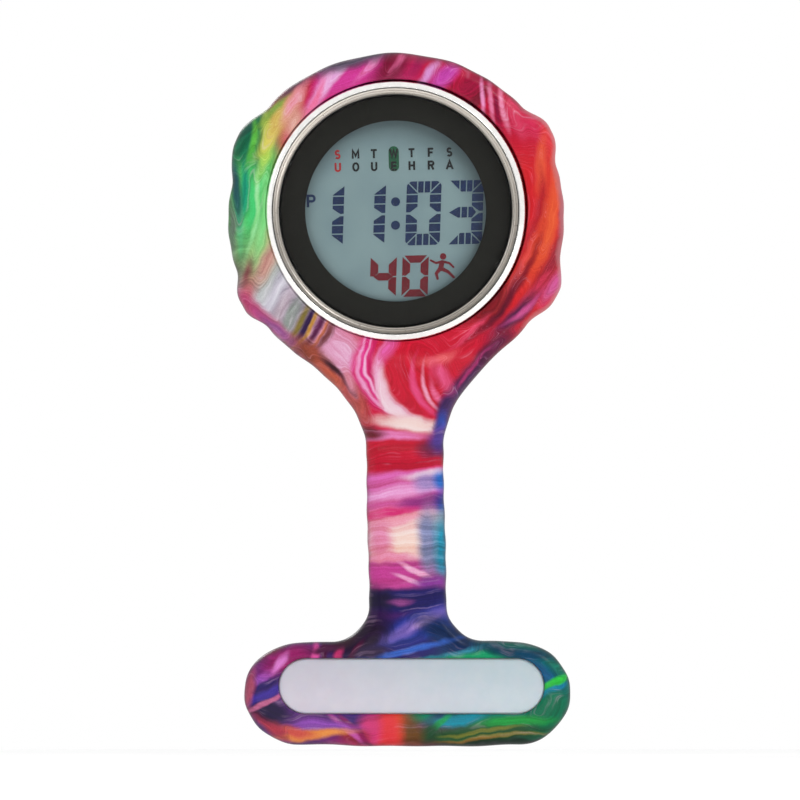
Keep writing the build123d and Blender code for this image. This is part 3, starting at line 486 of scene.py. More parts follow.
STROKES = [
    # head, clockwise from the top
    (-7.5, 77.8, 7, 3.4, 26, 0.4, (214, 74, 158)), (-10.2, 75.2, 3.2, 0.8, 62, 0.7, (238, 170, 214), 0.3),
    (-8.4, 77.2, 2.8, 0.5, 62, 0.8, (236, 190, 226), 0.3), (-12.6, 74.6, 3, 0.9, 66, 0.6, (204, 40, 96), 0.3),
    (-11.2, 73.4, 2.6, 0.4, 64, 0.7, (238, 130, 170), 0.3),
    (-3.4, 79.6, 3.6, 0.5, 58, 0.7, (240, 160, 204), 0.3), (-1.6, 78.2, 4, 1.7, 56, 0.6, (140, 30, 70), 0.3),
    (0.2, 79.8, 3, 0.35, 58, 0.8, (226, 120, 164), 0.3), (2.2, 78.8, 3.4, 0.7, 56, 0.6, (176, 40, 100), 0.3),
    (2.8, 76.6, 2, 0.45, 50, 0.8, (222, 160, 212), 0.3), (4.8, 76.6, 2.6, 0.9, 48, 0.8, (204, 84, 178), 0.3),
    (3.4, 79, 4.6, 0.8, -8, 0.7, (166, 60, 96), -0.3), (8.6, 75.8, 3.6, 1.6, 34, 0.7, (166, 30, 74)),
    (8.7, 73.4, 2, 0.7, 50, 0.7, (140, 34, 62)), (9.6, 73.6, 2.4, 0.25, 96, 0.8, (238, 158, 200)),
    (10.6, 73.2, 2.4, 0.25, 98, 0.8, (232, 140, 176)), (12, 72.6, 2.4, 0.35, 100, 0.8, (236, 150, 180)),
    (11.3, 72.6, 2.2, 0.3, 98, 0.8, (150, 24, 74)), (13.6, 71.4, 2.4, 0.7, 104, 0.8, (220, 86, 118)),
    (16.2, 70.8, 2.8, 1.8, -30, 0.7, (216, 62, 100)), (18.4, 68.6, 2.8, 1.2, -58, 0.7, (222, 60, 78)),
    (19.2, 66.2, 2.4, 0.5, 92, 0.8, (206, 108, 160)), (16.6, 65.6, 3.4, 0.7, 84, 0.8, (232, 104, 76)),
    (18.2, 61, 5.4, 0.6, 84, 0.8, (228, 88, 64), 0.5), (16.2, 59.4, 5, 0.5, 80, 0.8, (186, 40, 54), 0.5),
    (17.4, 57.6, 5.6, 1, 78, 0.8, (230, 104, 66), 0.6), (19.2, 59.2, 5, 0.4, 88, 0.8, (176, 70, 90), 0.3),
    (15.4, 54.4, 5, 0.6, 66, 0.8, (222, 84, 60), 0.7), (17.6, 52.6, 3.8, 0.8, 62, 0.8, (160, 44, 60), 0.3),
    (18.6, 50.8, 2.6, 0.8, 52, 0.8, (206, 96, 150)), (14, 50.8, 5, 0.4, 58, 0.8, (150, 30, 48), 0.7),
    (13, 50.4, 5, 0.3, 56, 0.8, (232, 96, 96), 0.7), (15.6, 49.4, 3.4, 0.5, 50, 0.8, (214, 70, 100), 0.4),
    (11.6, 47.4, 4.6, 0.5, 52, 0.8, (120, 26, 56), 0.8), (9.6, 46.6, 4.6, 0.3, 54, 0.8, (230, 86, 120), 0.8),
    (13.4, 46.6, 3.6, 0.8, 42, 0.7, (96, 40, 84), 0.3), (14.6, 47.4, 2.8, 0.3, 42, 0.8, (206, 92, 150), 0.3),
    # lower head
    (1.8, 40.6, 5, 3.2, -60, 0.5, (208, 28, 62)), (4, 41.4, 2, 0.5, 16, 0.9, (234, 112, 118), 0.3),
    (1, 37.6, 3.2, 0.4, 112, 0.8, (236, 96, 148), -1),
    (2.2, 37.3, 2.8, 0.25, 114, 0.8, (244, 172, 198), -0.9),
    (3.5, 37, 2, 0.35, 125, 0.8, (236, 118, 158), -0.5), (-8.4, 42, 4.6, 3, -50, 0.6, (226, 168, 196)),
    (-5.3, 39.6, 5.6, 1.5, 103, 0.5, (224, 60, 140), -2.8),
    (-5.9, 39.5, 5.4, 0.25, 103, 0.8, (240, 170, 208), -2.8),
    (-5, 39.5, 5.2, 0.2, 103, 0.8, (242, 178, 212), -2.8),
    (-4.4, 39.3, 5, 0.25, 104, 0.8, (208, 36, 112), -2.8),
    (-3.5, 38.3, 4.6, 0.6, 106, 0.7, (240, 186, 214), -2.5),
    (-2.2, 35.9, 4.2, 0.8, 128, 0.7, (244, 214, 224), -1.9), (0.4, 33.5, 4, 0.8, -5, 0.7, (246, 220, 216)),
    (10.2, 42.2, 3.6, 1.1, 44, 0.6, (112, 34, 76), -0.3), (7, 38.6, 3.6, 1.1, 58, 0.6, (86, 38, 90), -0.4),
    (7.6, 40.2, 3.2, 0.25, 52, 0.8, (178, 60, 120), -0.4), (4.9, 35, 3.4, 1, 76, 0.6, (88, 50, 112)),
    (4.4, 33.4, 1.4, 0.7, 80, 0.8, (64, 88, 172)), (-14.4, 46.6, 3, 0.8, 56, 0.7, (160, 164, 160), 0.3),
    (-13.2, 45.9, 3.2, 0.4, 57, 0.7, (146, 128, 72), 0.4),
    (-12.4, 45.7, 3.2, 0.45, 57, 0.6, (64, 38, 84), 0.4),
    (-11.9, 45.4, 3.2, 0.25, 58, 0.7, (206, 158, 84), 0.4),
    (-11.1, 45.1, 3.2, 0.4, 58, 0.7, (104, 44, 84), 0.4),
    (-10.5, 44.6, 3, 0.25, 58, 0.7, (212, 128, 96), 0.4), (-9.9, 44.4, 2.8, 0.5, 58, 0.8, (134, 76, 82), 0.4),
    (-12, 42, 3, 1.2, -38, 0.7, (150, 78, 60)), (-9.3, 39.3, 3.2, 0.8, -48, 0.7, (196, 100, 78)),
    (-6.1, 36, 3.2, 1, -66, 0.7, (190, 92, 88)), (-9, 40.2, 1.9, 0.35, -42, 0.7, (84, 34, 50)),
    (-7.2, 38, 1.6, 0.3, -56, 0.7, (112, 44, 58)), (-4.9, 32.4, 1.8, 0.6, 0, 0.7, (124, 44, 60)),
    (-2.4, 42.7, 1.8, 0.7, 62, 0.8, (228, 104, 166)), (4.3, 39.3, 1.8, 0.8, 118, 0.9, (230, 98, 142)),
    (-7, 38.6, 1.6, 0.5, 108, 0.8, (222, 150, 168)), (10.6, 48.2, 3.4, 0.8, 46, 0.8, (136, 32, 44), 0.6),
    # left side
    (-17.6, 51, 4.6, 2.2, 62, 0.7, (190, 190, 192)), (-16.4, 49.4, 3.6, 0.8, 58, 0.8, (212, 206, 216)),
    (-15.6, 47.6, 3, 0.6, 56, 0.8, (200, 184, 194)), (-19.8, 50, 3.6, 0.9, 72, 0.8, (186, 96, 118)),
    (-18.2, 46.8, 3.8, 0.9, -42, 0.8, (206, 84, 138)), (-16.6, 45.4, 2.6, 0.5, -42, 0.8, (160, 96, 150)),
    (-18.6, 55.6, 4, 2.4, 70, 0.8, (176, 186, 132)), (-17.2, 53.6, 2.8, 0.8, 64, 0.8, (206, 160, 150)),
    (-20.6, 53.8, 2.4, 0.8, 80, 0.8, (132, 128, 104)), (-19.4, 52.6, 2, 0.4, 70, 0.8, (150, 84, 92)),
    (-19.2, 60.6, 5.6, 1.6, 84, 0.8, (84, 198, 122), 0.4),
    (-17.6, 59.4, 5, 0.6, 84, 0.8, (150, 224, 152), 0.4),
    (-18.6, 60.4, 4.6, 0.3, 86, 0.8, (170, 230, 170), 0.4),
    (-20.2, 62.6, 4, 0.5, 84, 0.8, (40, 164, 132), 0.4), (-21, 58.6, 3.4, 0.4, 96, 0.8, (112, 196, 140)),
    (-21.5, 63, 4.6, 0.6, 94, 0.7, (44, 104, 108)), (-21.8, 58, 3, 0.35, 96, 0.7, (120, 140, 122)),
    (-20.2, 68.4, 3, 2, 62, 0.7, (36, 124, 92)), (-19.2, 70.6, 2.4, 0.6, 44, 0.7, (44, 106, 90)),
    (-18.9, 68.6, 3, 0.4, 84, 0.7, (104, 186, 84), 0.5), (-18.2, 68.2, 3.4, 0.4, 88, 0.7, (34, 140, 84), 0.5),
    (-17.4, 68.6, 3.8, 0.6, 88, 0.8, (196, 218, 104), 0.5),
    (-16.6, 70, 3.4, 0.6, 70, 0.8, (226, 212, 110), 0.4), (-15.4, 71.8, 3.4, 1.2, 56, 0.8, (216, 186, 112)),
    (-16.6, 72.4, 2.6, 0.4, 48, 0.8, (150, 176, 84)), (-14, 73.4, 2.6, 0.7, 60, 0.8, (234, 158, 170)),
    (-7.2, 78.6, 5.6, 1.1, 17, 0.6, (96, 84, 104), -0.5), (-14, 75.6, 3.2, 0.4, 42, 0.8, (124, 84, 100)),
    (-13.9, 70.8, 1.8, 0.8, 60, 0.8, (224, 172, 160)),
    # neck
    (-3, 31.8, 6, 0.6, 3, 0.5, (232, 140, 190)), (-4.4, 31.9, 1.7, 0.6, 0, 0.7, (128, 44, 60)),
    (3.6, 30.4, 1.8, 1.4, 0, 0.6, (140, 40, 84)), (4.2, 31.6, 1.2, 1.6, 0, 0.6, (96, 70, 150)),
    (-0.6, 28.4, 5.4, 0.7, 6, 0.5, (196, 24, 62)), (3, 27.2, 3.4, 0.6, 10, 0.6, (232, 196, 214)),
    (-1.2, 24.8, 5, 0.8, 10, 0.5, (232, 160, 206)), (2.4, 26, 1.6, 1.2, 0, 0.6, (176, 150, 200)),
    (4.4, 26.4, 1.2, 1.3, 0, 0.6, (44, 120, 200)), (2.2, 23.6, 3, 0.9, 6, 0.5, (172, 68, 150)),
    (4.6, 23.6, 1.2, 1.4, 0, 0.6, (74, 66, 156)), (-2.6, 22.1, 4.2, 0.7, 10, 0.6, (216, 60, 126)),
    (-1.6, 21.2, 4.4, 0.6, 12, 0.5, (238, 170, 186)), (-1, 18.6, 3, 1.3, 6, 0.6, (244, 214, 204)),
    (-3.4, 18.8, 1.4, 2.6, 0, 0.7, (226, 142, 172)), (2.7, 18.9, 1.3, 4, 0, 0.6, (140, 144, 178)),
    (4.6, 18.2, 1.2, 4.2, 0, 0.6, (36, 146, 172)), (-2.6, 16.8, 3.2, 0.5, 6, 0.5, (232, 150, 176)),
    (-2.6, 14.9, 3.4, 1.1, 4, 0.6, (204, 78, 158)), (0.9, 15.4, 2.2, 0.35, -24, 0.5, (238, 180, 210)),
    (0.3, 14.2, 2, 0.3, -22, 0.5, (236, 176, 210)), (3.2, 13.6, 2.2, 0.9, 0, 0.6, (150, 70, 160)),
    (0, 11.6, 7, 1.5, 2, 0.3, (42, 36, 112)), (-3.6, 11.6, 1.9, 1.6, 0, 0.6, (36, 16, 70)),
    (-0.8, 11.4, 1.3, 0.4, 5, 0.7, (160, 84, 150)), (2, 8.6, 6, 1.6, 18, 0.5, (58, 76, 166)),
    (0.9, 8.5, 4.4, 0.8, 22, 0.6, (140, 118, 196)), (1.8, 8.7, 1.6, 0.35, 22, 0.7, (206, 170, 226)),
    (-5, 8.4, 2.4, 1.8, 34, 0.6, (58, 24, 84)), (-6, 6.6, 3.6, 1.8, 34, 0.5, (52, 30, 62)),
    (5.2, 7, 4.4, 1.5, -30, 0.6, (24, 58, 104)), (-2, 4.9, 8, 0.45, 14, 0.5, (66, 108, 190)),
    # bar, clockwise from the top
    (4, 4.6, 6, 0.4, 12, 0.5, (64, 140, 160)), (8.6, 4.7, 4.6, 0.55, 4, 0.5, (14, 158, 110)),
    (14, 5.2, 5, 0.7, -10, 0.6, (16, 74, 96)), (17, 2.4, 3.4, 1.1, -42, 0.6, (14, 92, 130)),
    (18, 0.8, 2.6, 0.55, 32, 0.4, (64, 204, 84)), (17.6, -0.2, 2.4, 0.4, 30, 0.5, (24, 140, 190)),
    (17.6, -2.6, 3.2, 2, 50, 0.6, (4, 122, 90)), (9, -5.2, 8.4, 1.3, 3, 0.4, (44, 92, 54)),
    (13.4, -3.6, 4.4, 0.6, 4, 0.5, (34, 160, 76)), (9, -4.8, 5, 0.25, 6, 0.5, (126, 130, 60)),
    (12, -5.3, 5, 0.25, 4, 0.5, (136, 128, 70)), (7.4, -5.8, 4, 0.2, 5, 0.5, (150, 120, 60)),
    (6, -3.4, 3.4, 0.6, 8, 0.5, (20, 148, 168)), (3.6, -3.9, 2, 0.4, 36, 0.5, (40, 168, 104)),
    (2.4, -5, 1.4, 1, 40, 0.6, (36, 84, 54)), (1.2, -3, 1.8, 0.8, 10, 0.6, (4, 140, 108)),
    (11.4, -6.3, 9, 0.5, 2, 0.7, (22, 54, 40)), (-1.4, -4.2, 1.7, 2.2, 0, 0.6, (220, 92, 48)),
    (0.4, -5, 1.3, 1.8, 0, 0.7, (116, 78, 34)), (-2.8, -4.8, 1.8, 2.6, 0, 0.6, (226, 66, 74)),
    (-4.8, -4.8, 1.4, 2.4, 0, 0.6, (214, 70, 130)), (-6.4, -5.2, 1.8, 0.9, 0, 0.6, (156, 52, 70)),
    (-6.2, -4.6, 2.8, 0.45, -42, 0.5, (150, 36, 96)), (-7.6, -4.2, 2.8, 0.4, -38, 0.5, (196, 96, 168)),
    (-11, -3.9, 4.4, 0.7, -2, 0.6, (150, 84, 176)), (-11.6, -5.1, 4.6, 0.6, 6, 0.5, (232, 150, 84)),
    (-14, -4.7, 2.4, 0.6, -10, 0.6, (214, 100, 90)), (-17.2, -3.6, 3.2, 0.9, -44, 0.6, (190, 74, 92)),
    (-17.2, -2, 3.2, 1.4, -24, 0.6, (44, 24, 74)), (-17.6, -0.2, 3.2, 0.55, 26, 0.5, (76, 56, 150)),
    (-17.6, -1.2, 3, 0.3, 26, 0.5, (196, 112, 150)), (-17.2, 1.2, 3, 0.6, 26, 0.5, (56, 34, 112)),
    (-17.4, 2.2, 3, 0.45, 34, 0.5, (160, 92, 184)), (-19.6, 0.4, 2.4, 0.6, 80, 0.6, (186, 92, 120)),
    (-14.6, 4.2, 3.8, 1.6, 22, 0.6, (158, 44, 112)), (-15.8, 3.6, 1.5, 0.5, 55, 0.6, (214, 128, 196)),
    (-11.4, 5, 1.6, 0.5, 80, 0.5, (224, 96, 166)), (-10.2, 5, 1.6, 0.35, 86, 0.5, (90, 16, 70)),
    (-8.6, 4.6, 1.2, 0.5, 70, 0.6, (196, 64, 120)), (-8.2, 6.2, 1.8, 0.7, 20, 0.7, (66, 34, 54)),
    (-10.2, 5.6, 1.8, 0.5, 4, 0.7, (92, 34, 78)), (-17.2, 5, 2.4, 0.6, 32, 0.7, (118, 44, 68)),
    (-6.6, 4.9, 1.8, 0.4, 55, 0.5, (96, 30, 70)), (-4.6, 5, 2.2, 0.8, 20, 0.6, (62, 44, 78)),
]


RUN_TURN_Z = 36.0  # where the streaks turn from level to round the dial
# painted light along the skin's outline: painted shade where its rounded edge turns away, and a painted
# highlight on the head's right side, mixed in at most this share
RIM_PAINTED_SHADE, RIM_PAINTED_HIGHLIGHT = srgb(52, 34, 48), srgb(196, 140, 144)
RIM_PAINTED_LIGHT_SHARE = 0.55
PRINT_GAMMA = 1.22
PRINT_TINT = (0.87, 0.9, 0.9)


def print_material():
    s = Shader("silicone_print")
    at = s.add("ShaderNodeAttribute", {}, attribute_name="print_at").outputs["Vector"]
    rim = s.add("ShaderNodeAttribute", {}, attribute_name="rim_at").outputs["Fac"]
    x, _, z = s.split(at)
    flat = s.vector("MULTIPLY", at, (1.0, 0.6, 1.0))
    broad = s.vector("SUBTRACT", s.noise(flat, 0.16, 2.0, 0.5, out=1), (0.5, 0.5, 0.5))
    fine = s.vector("SUBTRACT", s.noise(flat, 0.8, 1.5, 0.5, out=1), (0.5, 0.5, 0.5))
    swept = s.vector("ADD", flat, s.vector("SCALE", broad, scale=1.8))
    plane = s.vector("ADD", swept, s.vector("SCALE", fine, scale=0.38))
    plane = s.vector("MULTIPLY", plane, (1.0, 0.0, 1.0))
    # the way the streaks run where no stroke leads them
    mx, _, mz = s.split(swept)
    plan = s.vector("MULTIPLY", swept, (1, 0, 1))
    round_dial = s.vector("LENGTH", s.vector("SUBTRACT", plan, (DIAL_X, 0, DIAL_Z)))
    across = s.math("SUBTRACT", s.math("MULTIPLY", mx, 0.84), s.math("MULTIPLY", mz, 0.54))
    level = s.math("ADD", s.math("MULTIPLY", mx, -0.2), mz)

    def blend_run(share, a, b):
        return s.add("ShaderNodeMix", {0: share, 2: a, 3: b}, data_type="FLOAT").outputs[0]

    run = blend_run(s.ramp(z, 69.0, 75.0), round_dial, across)
    run = blend_run(s.ramp(z, RUN_TURN_Z - 4, RUN_TURN_Z + 4), level, run)
    color = plane
    for cx, cz, long, wide, turn, soft, tone, *bend in GROUNDS + STROKES:
        # a trace of the colour below makes Cycles work through the strokes in turn, within its stack
        sockets = {0: color, 1: (1e-6, 1e-6, 1e-6), 2: plane}
        here = s.add("ShaderNodeVectorMath", sockets, operation="MULTIPLY_ADD").outputs[0]
        sockets = {"Vector": here, "Location": (cx, 0, cz), "Rotation": (0, -math.radians(turn), 0),
                   "Scale": (long, 1, wide)}
        u, _, v = s.split(s.add("ShaderNodeMapping", sockets, vector_type="TEXTURE").outputs[0])
        square = s.math("MULTIPLY", u, u)
        if bend:
            v = s.fused(square, -bend[0] / wide, v)
        reach = s.math("SQRT", s.fused(v, v, square))
        share = s.ramp(reach, 1 + soft, 1 - soft)
        color = s.mix(share, color, srgb(*tone))
        if long < 12 and wide > 0.45:  # finer strokes don't lead the streaks round them
            run = blend_run(share, run, s.fused(v, wide, cz))

    def lines(scale, shift, detail=3.0):
        sockets = {0: s.math("ADD", s.math("MULTIPLY", run, scale), shift),
                   1: s.math("MULTIPLY", round_dial, 0.12 * scale)}
        where = s.add("ShaderNodeCombineXYZ", sockets).outputs[0]
        sockets = {"Vector": where, "Scale": 1.0, "Detail": detail, "Roughness": 0.6}
        return s.add("ShaderNodeTexNoise", sockets, noise_dimensions="2D").outputs[0]

    tone = s.ramp(lines(0.9, 11.0), 0.25, 0.75, smooth=False)
    shade = s.mix(tone, (0.12, 0.12, 0.12), (0.88, 0.88, 0.88))
    color = s.mix(0.34, color, shade, "OVERLAY")
    fine_lines = s.mix(s.ramp(lines(3.2, 40.0, 2.0), 0.3, 0.7), (0.1, 0.1, 0.1), (0.9, 0.9, 0.9))
    color = s.mix(s.ramp(s.noise(swept, 0.35, 2.0), 0.35, 0.65, 0.03, 0.18), color, fine_lines, "OVERLAY")
    patchy = s.ramp(s.noise(swept, 0.3, 2.0), 0.45, 0.62, 0.0, 0.35)
    pale = s.math("MULTIPLY", s.ramp(lines(1.6, 30.0, 2.0), 0.52, 0.8), patchy)
    color = s.mix(pale, color, (0.62, 0.42, 0.55), "SCREEN")
    dots = s.mix(s.ramp(s.noise(at, 5.5, 3.0, 0.7), 0.3, 0.7), (0.2, 0.2, 0.2), (0.8, 0.8, 0.8))
    color = s.mix(0.14, color, dots, "OVERLAY")
    # painted shade darkens the skin along its outline, where its rounded edge turns away; on the head's right
    # side the rim is painted pale instead, a painted highlight over a wider band
    lit_rim_side = s.math("MULTIPLY", s.ramp(x, 12.0, 16.0), s.ramp(z, 38.0, 46.0))
    depth = s.math("SUBTRACT", rim, s.math("MULTIPLY", lit_rim_side, 0.4))
    edge = s.ramp(s.math("ADD", depth, s.math("MULTIPLY", s.noise(at, 0.9), 0.6)), 0.15, 0.8, RIM_PAINTED_LIGHT_SHARE, 0.0)
    color = s.mix(edge, color, s.mix(lit_rim_side, RIM_PAINTED_SHADE, RIM_PAINTED_HIGHLIGHT))
    deep = s.add("ShaderNodeGamma", {"Color": color, "Gamma": PRINT_GAMMA}).outputs[0]
    color = s.mix(1.0, deep, PRINT_TINT, "MULTIPLY")
    speck = s.noise(at, 9.0, 2.0, 0.6)
    s.set(color=color, rough=s.ramp(speck, 0.3, 0.7, 0.36, 0.48), coat=0.07, coat_rough=0.14, specular=0.13)
    s.bump(s.noise(at, 1.8, 3.0, 0.5), 0.1, 2e-4)
    return s.material


PRINT = print_material()
for skin in skins:
    skin.data.materials.append(PRINT)

# ---- the dial


def height(h):
    """Y of a height above the head's back."""
    return HEAD_BACK - h


def on_dial(dx, dz):
    """X and Z of a place seen from the dial's centre, in the dial's own leaning directions."""
    sine, cosine = math.sin(LEAN), math.cos(LEAN)
    return DIAL_X + dx * cosine - dz * sine, DIAL_Z + dx * sine + dz * cosine


def dress(obj, material, body="head"):
    obj.data.materials.clear()
    obj.data.materials.append(material)
    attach(obj, body)
    return obj


def arc(centre, r, start, end, steps=6):
    """Points of an arc in a lathe profile, angles in degrees."""
    turns = [math.radians(start + (end - start) * i / steps) for i in range(steps + 1)]
    return [(centre[0] + r * math.cos(t), centre[1] + r * math.sin(t)) for t in turns]


def sharpen(obj, angle=35):
    """Keeps the creases of a lathed piece crisp."""
    mesh = bmesh.new()
    mesh.from_mesh(obj.data)
    for edge in mesh.edges:
        if len(edge.link_faces) == 2 and edge.calc_face_angle(0) > math.radians(angle):
            edge.smooth = False
    mesh.to_mesh(obj.data)
    mesh.free()
    return obj


def polished_material(name, color, rough):
    s = Shader(name)
    at = s.place()
    cloud = s.noise(at, 0.9, 3.0, 0.6)
    s.set(color=s.mix(s.ramp(cloud, 0.35, 0.65), tuple(c * 0.94 for c in color), color), metallic=1.0,
          rough=s.ramp(s.noise(at, 5.0, 4.0, 0.7), 0.3, 0.8, rough * 0.7, rough * 1.6))
    s.bump(s.noise(at, 14.0, 2.0, 0.5), 0.05, 1e-5)
    return s.material


def turned_material(name, color, rough, pitch):
    """Metal with the fine rings that a lathe tool leaves round the dial's axis."""
    s = Shader(name)
    at = s.vector("SUBTRACT", s.place(), (DIAL_X, 0.0, DIAL_Z))
    radius = s.vector("LENGTH", s.vector("MULTIPLY", at, (1.0, 0.0, 1.0)))
    sockets = {"W": s.math("MULTIPLY", radius, pitch), "Scale": 1.0, "Detail": 3.0}
    rings = s.add("ShaderNodeTexNoise", sockets, noise_dimensions="1D").outputs[0]
    tone = s.ramp(rings, 0.35, 0.65)
    s.set(color=s.mix(tone, tuple(c * 0.72 for c in color), color), metallic=1.0,
          rough=s.ramp(s.noise(at, 3.0, 3.0), 0.3, 0.7, rough * 0.85, rough * 1.15))
    s.bump(rings, 0.3, 4e-5)
    return s.material


RING_R = 15.28  # the bright ring's inner edge
CROWN = [(15.95, height(8.3)), (16.06, height(8.6)), (16.06, height(10.2))]
CROWN += arc((15.98, height(10.24)), 0.08, 0, -50, 4)
CROWN += [(15.7, height(10.5)), (15.44, height(10.72))]
CROWN += arc((15.37, height(10.69)), 0.07, -60, -180, 4)
CROWN += [(RING_R, height(10.4)), (RING_R, height(8.3))]
bezel_ring = sharpen(lathe("bezel_ring", CROWN))
dress(bezel_ring, polished_material("polished_steel", (0.93, 0.915, 0.89), 0.12))
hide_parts("bezel")

BAND = [(RING_R - 0.06, height(8.95)), (RING_R - 0.06, height(10.42)), (RING_R - 0.1, height(10.5))]
BAND += [(14.98, height(10.46)), (14.94, height(10.4)), (14.9, height(10.44)), (14.66, height(10.36))]
BAND += [(14.6, height(10.26)), (14.54, height(10.28)), (14.46, height(10.2)), (14.42, height(10.1))]
BAND += [(14.42, height(10.02)), (15.1, height(10.02)), (15.1, height(8.95))]
bezel_band = sharpen(lathe("bezel_band", BAND), 25)
dress(bezel_band, turned_material("satin_band", (0.6, 0.555, 0.5), 0.32, 9.0))

# ---- the display


def flat_piece(name, shapes, base, thick, step=0.0):
    """Thin closed prisms on a plane of the dial: outlines are in millimetres from the dial's centre.
    Each is a step higher than the one before it, so that overlapping ones don't share a face."""
    points, faces = [], []
    for number, shape in enumerate(shapes):
        area = sum(a[0] * b[1] - b[0] * a[1] for a, b in zip(shape, shape[1:] + shape[:1]))
        ring = shape if area > 0 else shape[::-1]
        first, n = len(points), len(ring)
        for h in (base, base + thick + step * number):
            points += [(x, height(h), z) for x, z in (on_dial(*p) for p in ring)]
        faces.append([first + n + i for i in range(n)])
        faces.append([first + i for i in reversed(range(n))])
        faces += [[first + i, first + (i + 1) % n, first + n + (i + 1) % n, first + n + i] for i in range(n)]
    return mesh_object(name, points, faces, smooth=False)


def slanted(shape, slant=0.055):
    return [(x + z * slant, z) for x, z in shape]


def moved(shape, dx, dz):
    return [(x + dx, z + dz) for x, z in shape]


GAP = 0.075  # half the clear line between two blocks of a digit


def clip(shape, keep):
    """The part of a convex outline where keep(point) is above zero; keep is linear."""
    result = []
    for a, b in zip(shape, shape[1:] + shape[:1]):
        ka, kb = keep(a), keep(b)
        if ka >= 0:
            result.append(a)
        if (ka > 0) != (kb > 0) and ka != kb:
            t = ka / (ka - kb)
            result.append((a[0] + (b[0] - a[0]) * t, a[1] + (b[1] - a[1]) * t))
    return result


def slices(shape, axis, cuts):
    """Cuts an outline across an axis, leaving a clear line at each cut."""
    edges = [-99.0, *cuts, 99.0]
    pieces = []
    for low, high in zip(edges, edges[1:]):
        part = clip(shape, lambda p: p[axis] - low - GAP)
        part = clip(part, lambda p: high - GAP - p[axis]) if len(part) > 2 else []
        if len(part) > 2:
            pieces.append(part)
    return pieces


def blocky_digit(which, width, half, s):
    """Segments of a large digit, each cut into blocks. Its middle is at (width / 2, 0)."""
    g, m, c = 0.14, 0.1, 0.16  # gap at the middle, gap at a mitre, how far a corner is rounded off
    column = [(0, half - 0.5), (0, g), (s * 0.35, g), (s, g + 0.7), (s, half - s - m), (c, half - c - m)]
    single = [(0, half - 0.38), (0, g), (s * 0.3, g), (s, g + 0.65), (s, half - 1.45)]
    bar_end = [(width - 0.5, half), (width - c - m, half - c), (width - s - m, half - s)]
    bar = [(c + m, half - c), (0.5, half), *bar_end, (s + m, half - s)]
    hook = [(0.12, half), *bar_end, (s + m, half - s)]
    middle = [(0.05, 0), (s * 0.85, 0.66), (width - s * 0.95, 0.66), (width - s * 0.6, 0),
              (width - s * 0.95, -0.66), (s * 0.85, -0.66)]
    rows = [1.26, 2.35]
    columns = [width * k for k in (0.31, 0.5, 0.69)]

    def turned(shapes, right, down):
        for shape in shapes:
            yield [(width - x if right else x, -z if down else z) for x, z in shape]

    pieces = []
    if which == "1":
        for down in (False, True):
            pieces += turned(slices(single, 1, rows), True, down)
        return pieces
    for down in (False, True):
        pieces += turned(slices(column, 1, rows), True, down)
        if which == "0":
            pieces += turned(slices(column, 1, rows), False, down)
        pieces += turned(slices(bar if which == "0" else hook, 0, columns), False, down)
    if which == "3":
        pieces += slices(middle, 0, [width * 0.36, width * 0.56])
    return pieces


def plain_digit(lit, width, half, s):
    """Segments of a small digit: lit names them by the usual letters."""
    g = 0.07
    left = [(0, half - 0.16), (0, g), (s * 0.5, g), (s, s * 0.5), (s, half - s - g)]
    top = [(0.16 + g, half), (width - 0.16 - g, half), (width - s, half - s + g), (s, half - s + g)]
    middle = [(s * 0.4, 0), (s + g, s * 0.48), (width - s - g, s * 0.48), (width - s * 0.4, 0),
              (width - s - g, -s * 0.48), (s + g, -s * 0.48)]
    shapes = {"a": top, "d": [(x, -z) for x, z in top], "g": middle,
              "f": left, "e": [(x, -z) for x, z in left],
              "b": [(width - x, z) for x, z in left], "c": [(width - x, -z) for x, z in left]}
    return [shapes[k] for k in lit]


def disc(cx, cz, r, steps=32):
    turns = [2 * math.pi * k / steps for k in range(steps)]
    return [(cx + r * math.cos(t), cz + r * math.sin(t)) for t in turns]


def capsule(ax, az, bx, bz, r0, r1, steps=8):
    """A limb between two points, with round ends."""
    turn = math.atan2(bz - az, bx - ax)
    first = [(ax + r0 * math.cos(turn + t), az + r0 * math.sin(turn + t))
             for t in (math.pi / 2 + math.pi * i / steps for i in range(steps + 1))]
    last = [(bx + r1 * math.cos(turn + t), bz + r1 * math.sin(turn + t))
            for t in (-math.pi / 2 + math.pi * i / steps for i in range(steps + 1))]
    return first + last


INK = 7.955  # height of the segments, just over the display's film
INK_THICK = 0.03
MARKED_THICK = 0.02  # the marked day's letters, which lie on its green mark
OVERLAP = 0.0005  # a letter's next line is this much higher, so that no faces coincide
RUNNER_OVERLAP = 0.002
TIME_MIDDLE = -0.34
DIGIT_HALF = 3.95
DIGIT_STROKE = 1.4
time_shapes = []
for digit, left_edge, width in (("1", -10.75, 4.3), ("1", -5.6, 4.3), ("0", 1.28, 4.3), ("3", 6.55, 4.25)):
    blocks = blocky_digit(digit, width, DIGIT_HALF, DIGIT_STROKE)
    time_shapes += [moved(slanted(b), left_edge, TIME_MIDDLE) for b in blocks]
time_shapes += [disc(0.02, 1.15, 0.56), disc(-0.06, -1.75, 0.56)]
second_shapes = []
for lit, left_edge, width in (("fgbc", -3.35, 3.25), ("abcdef", 0.6, 3.25)):
    second_shapes += [moved(slanted(b), left_edge, -8.1) for b in plain_digit(lit, width, 2.55, 0.98)]
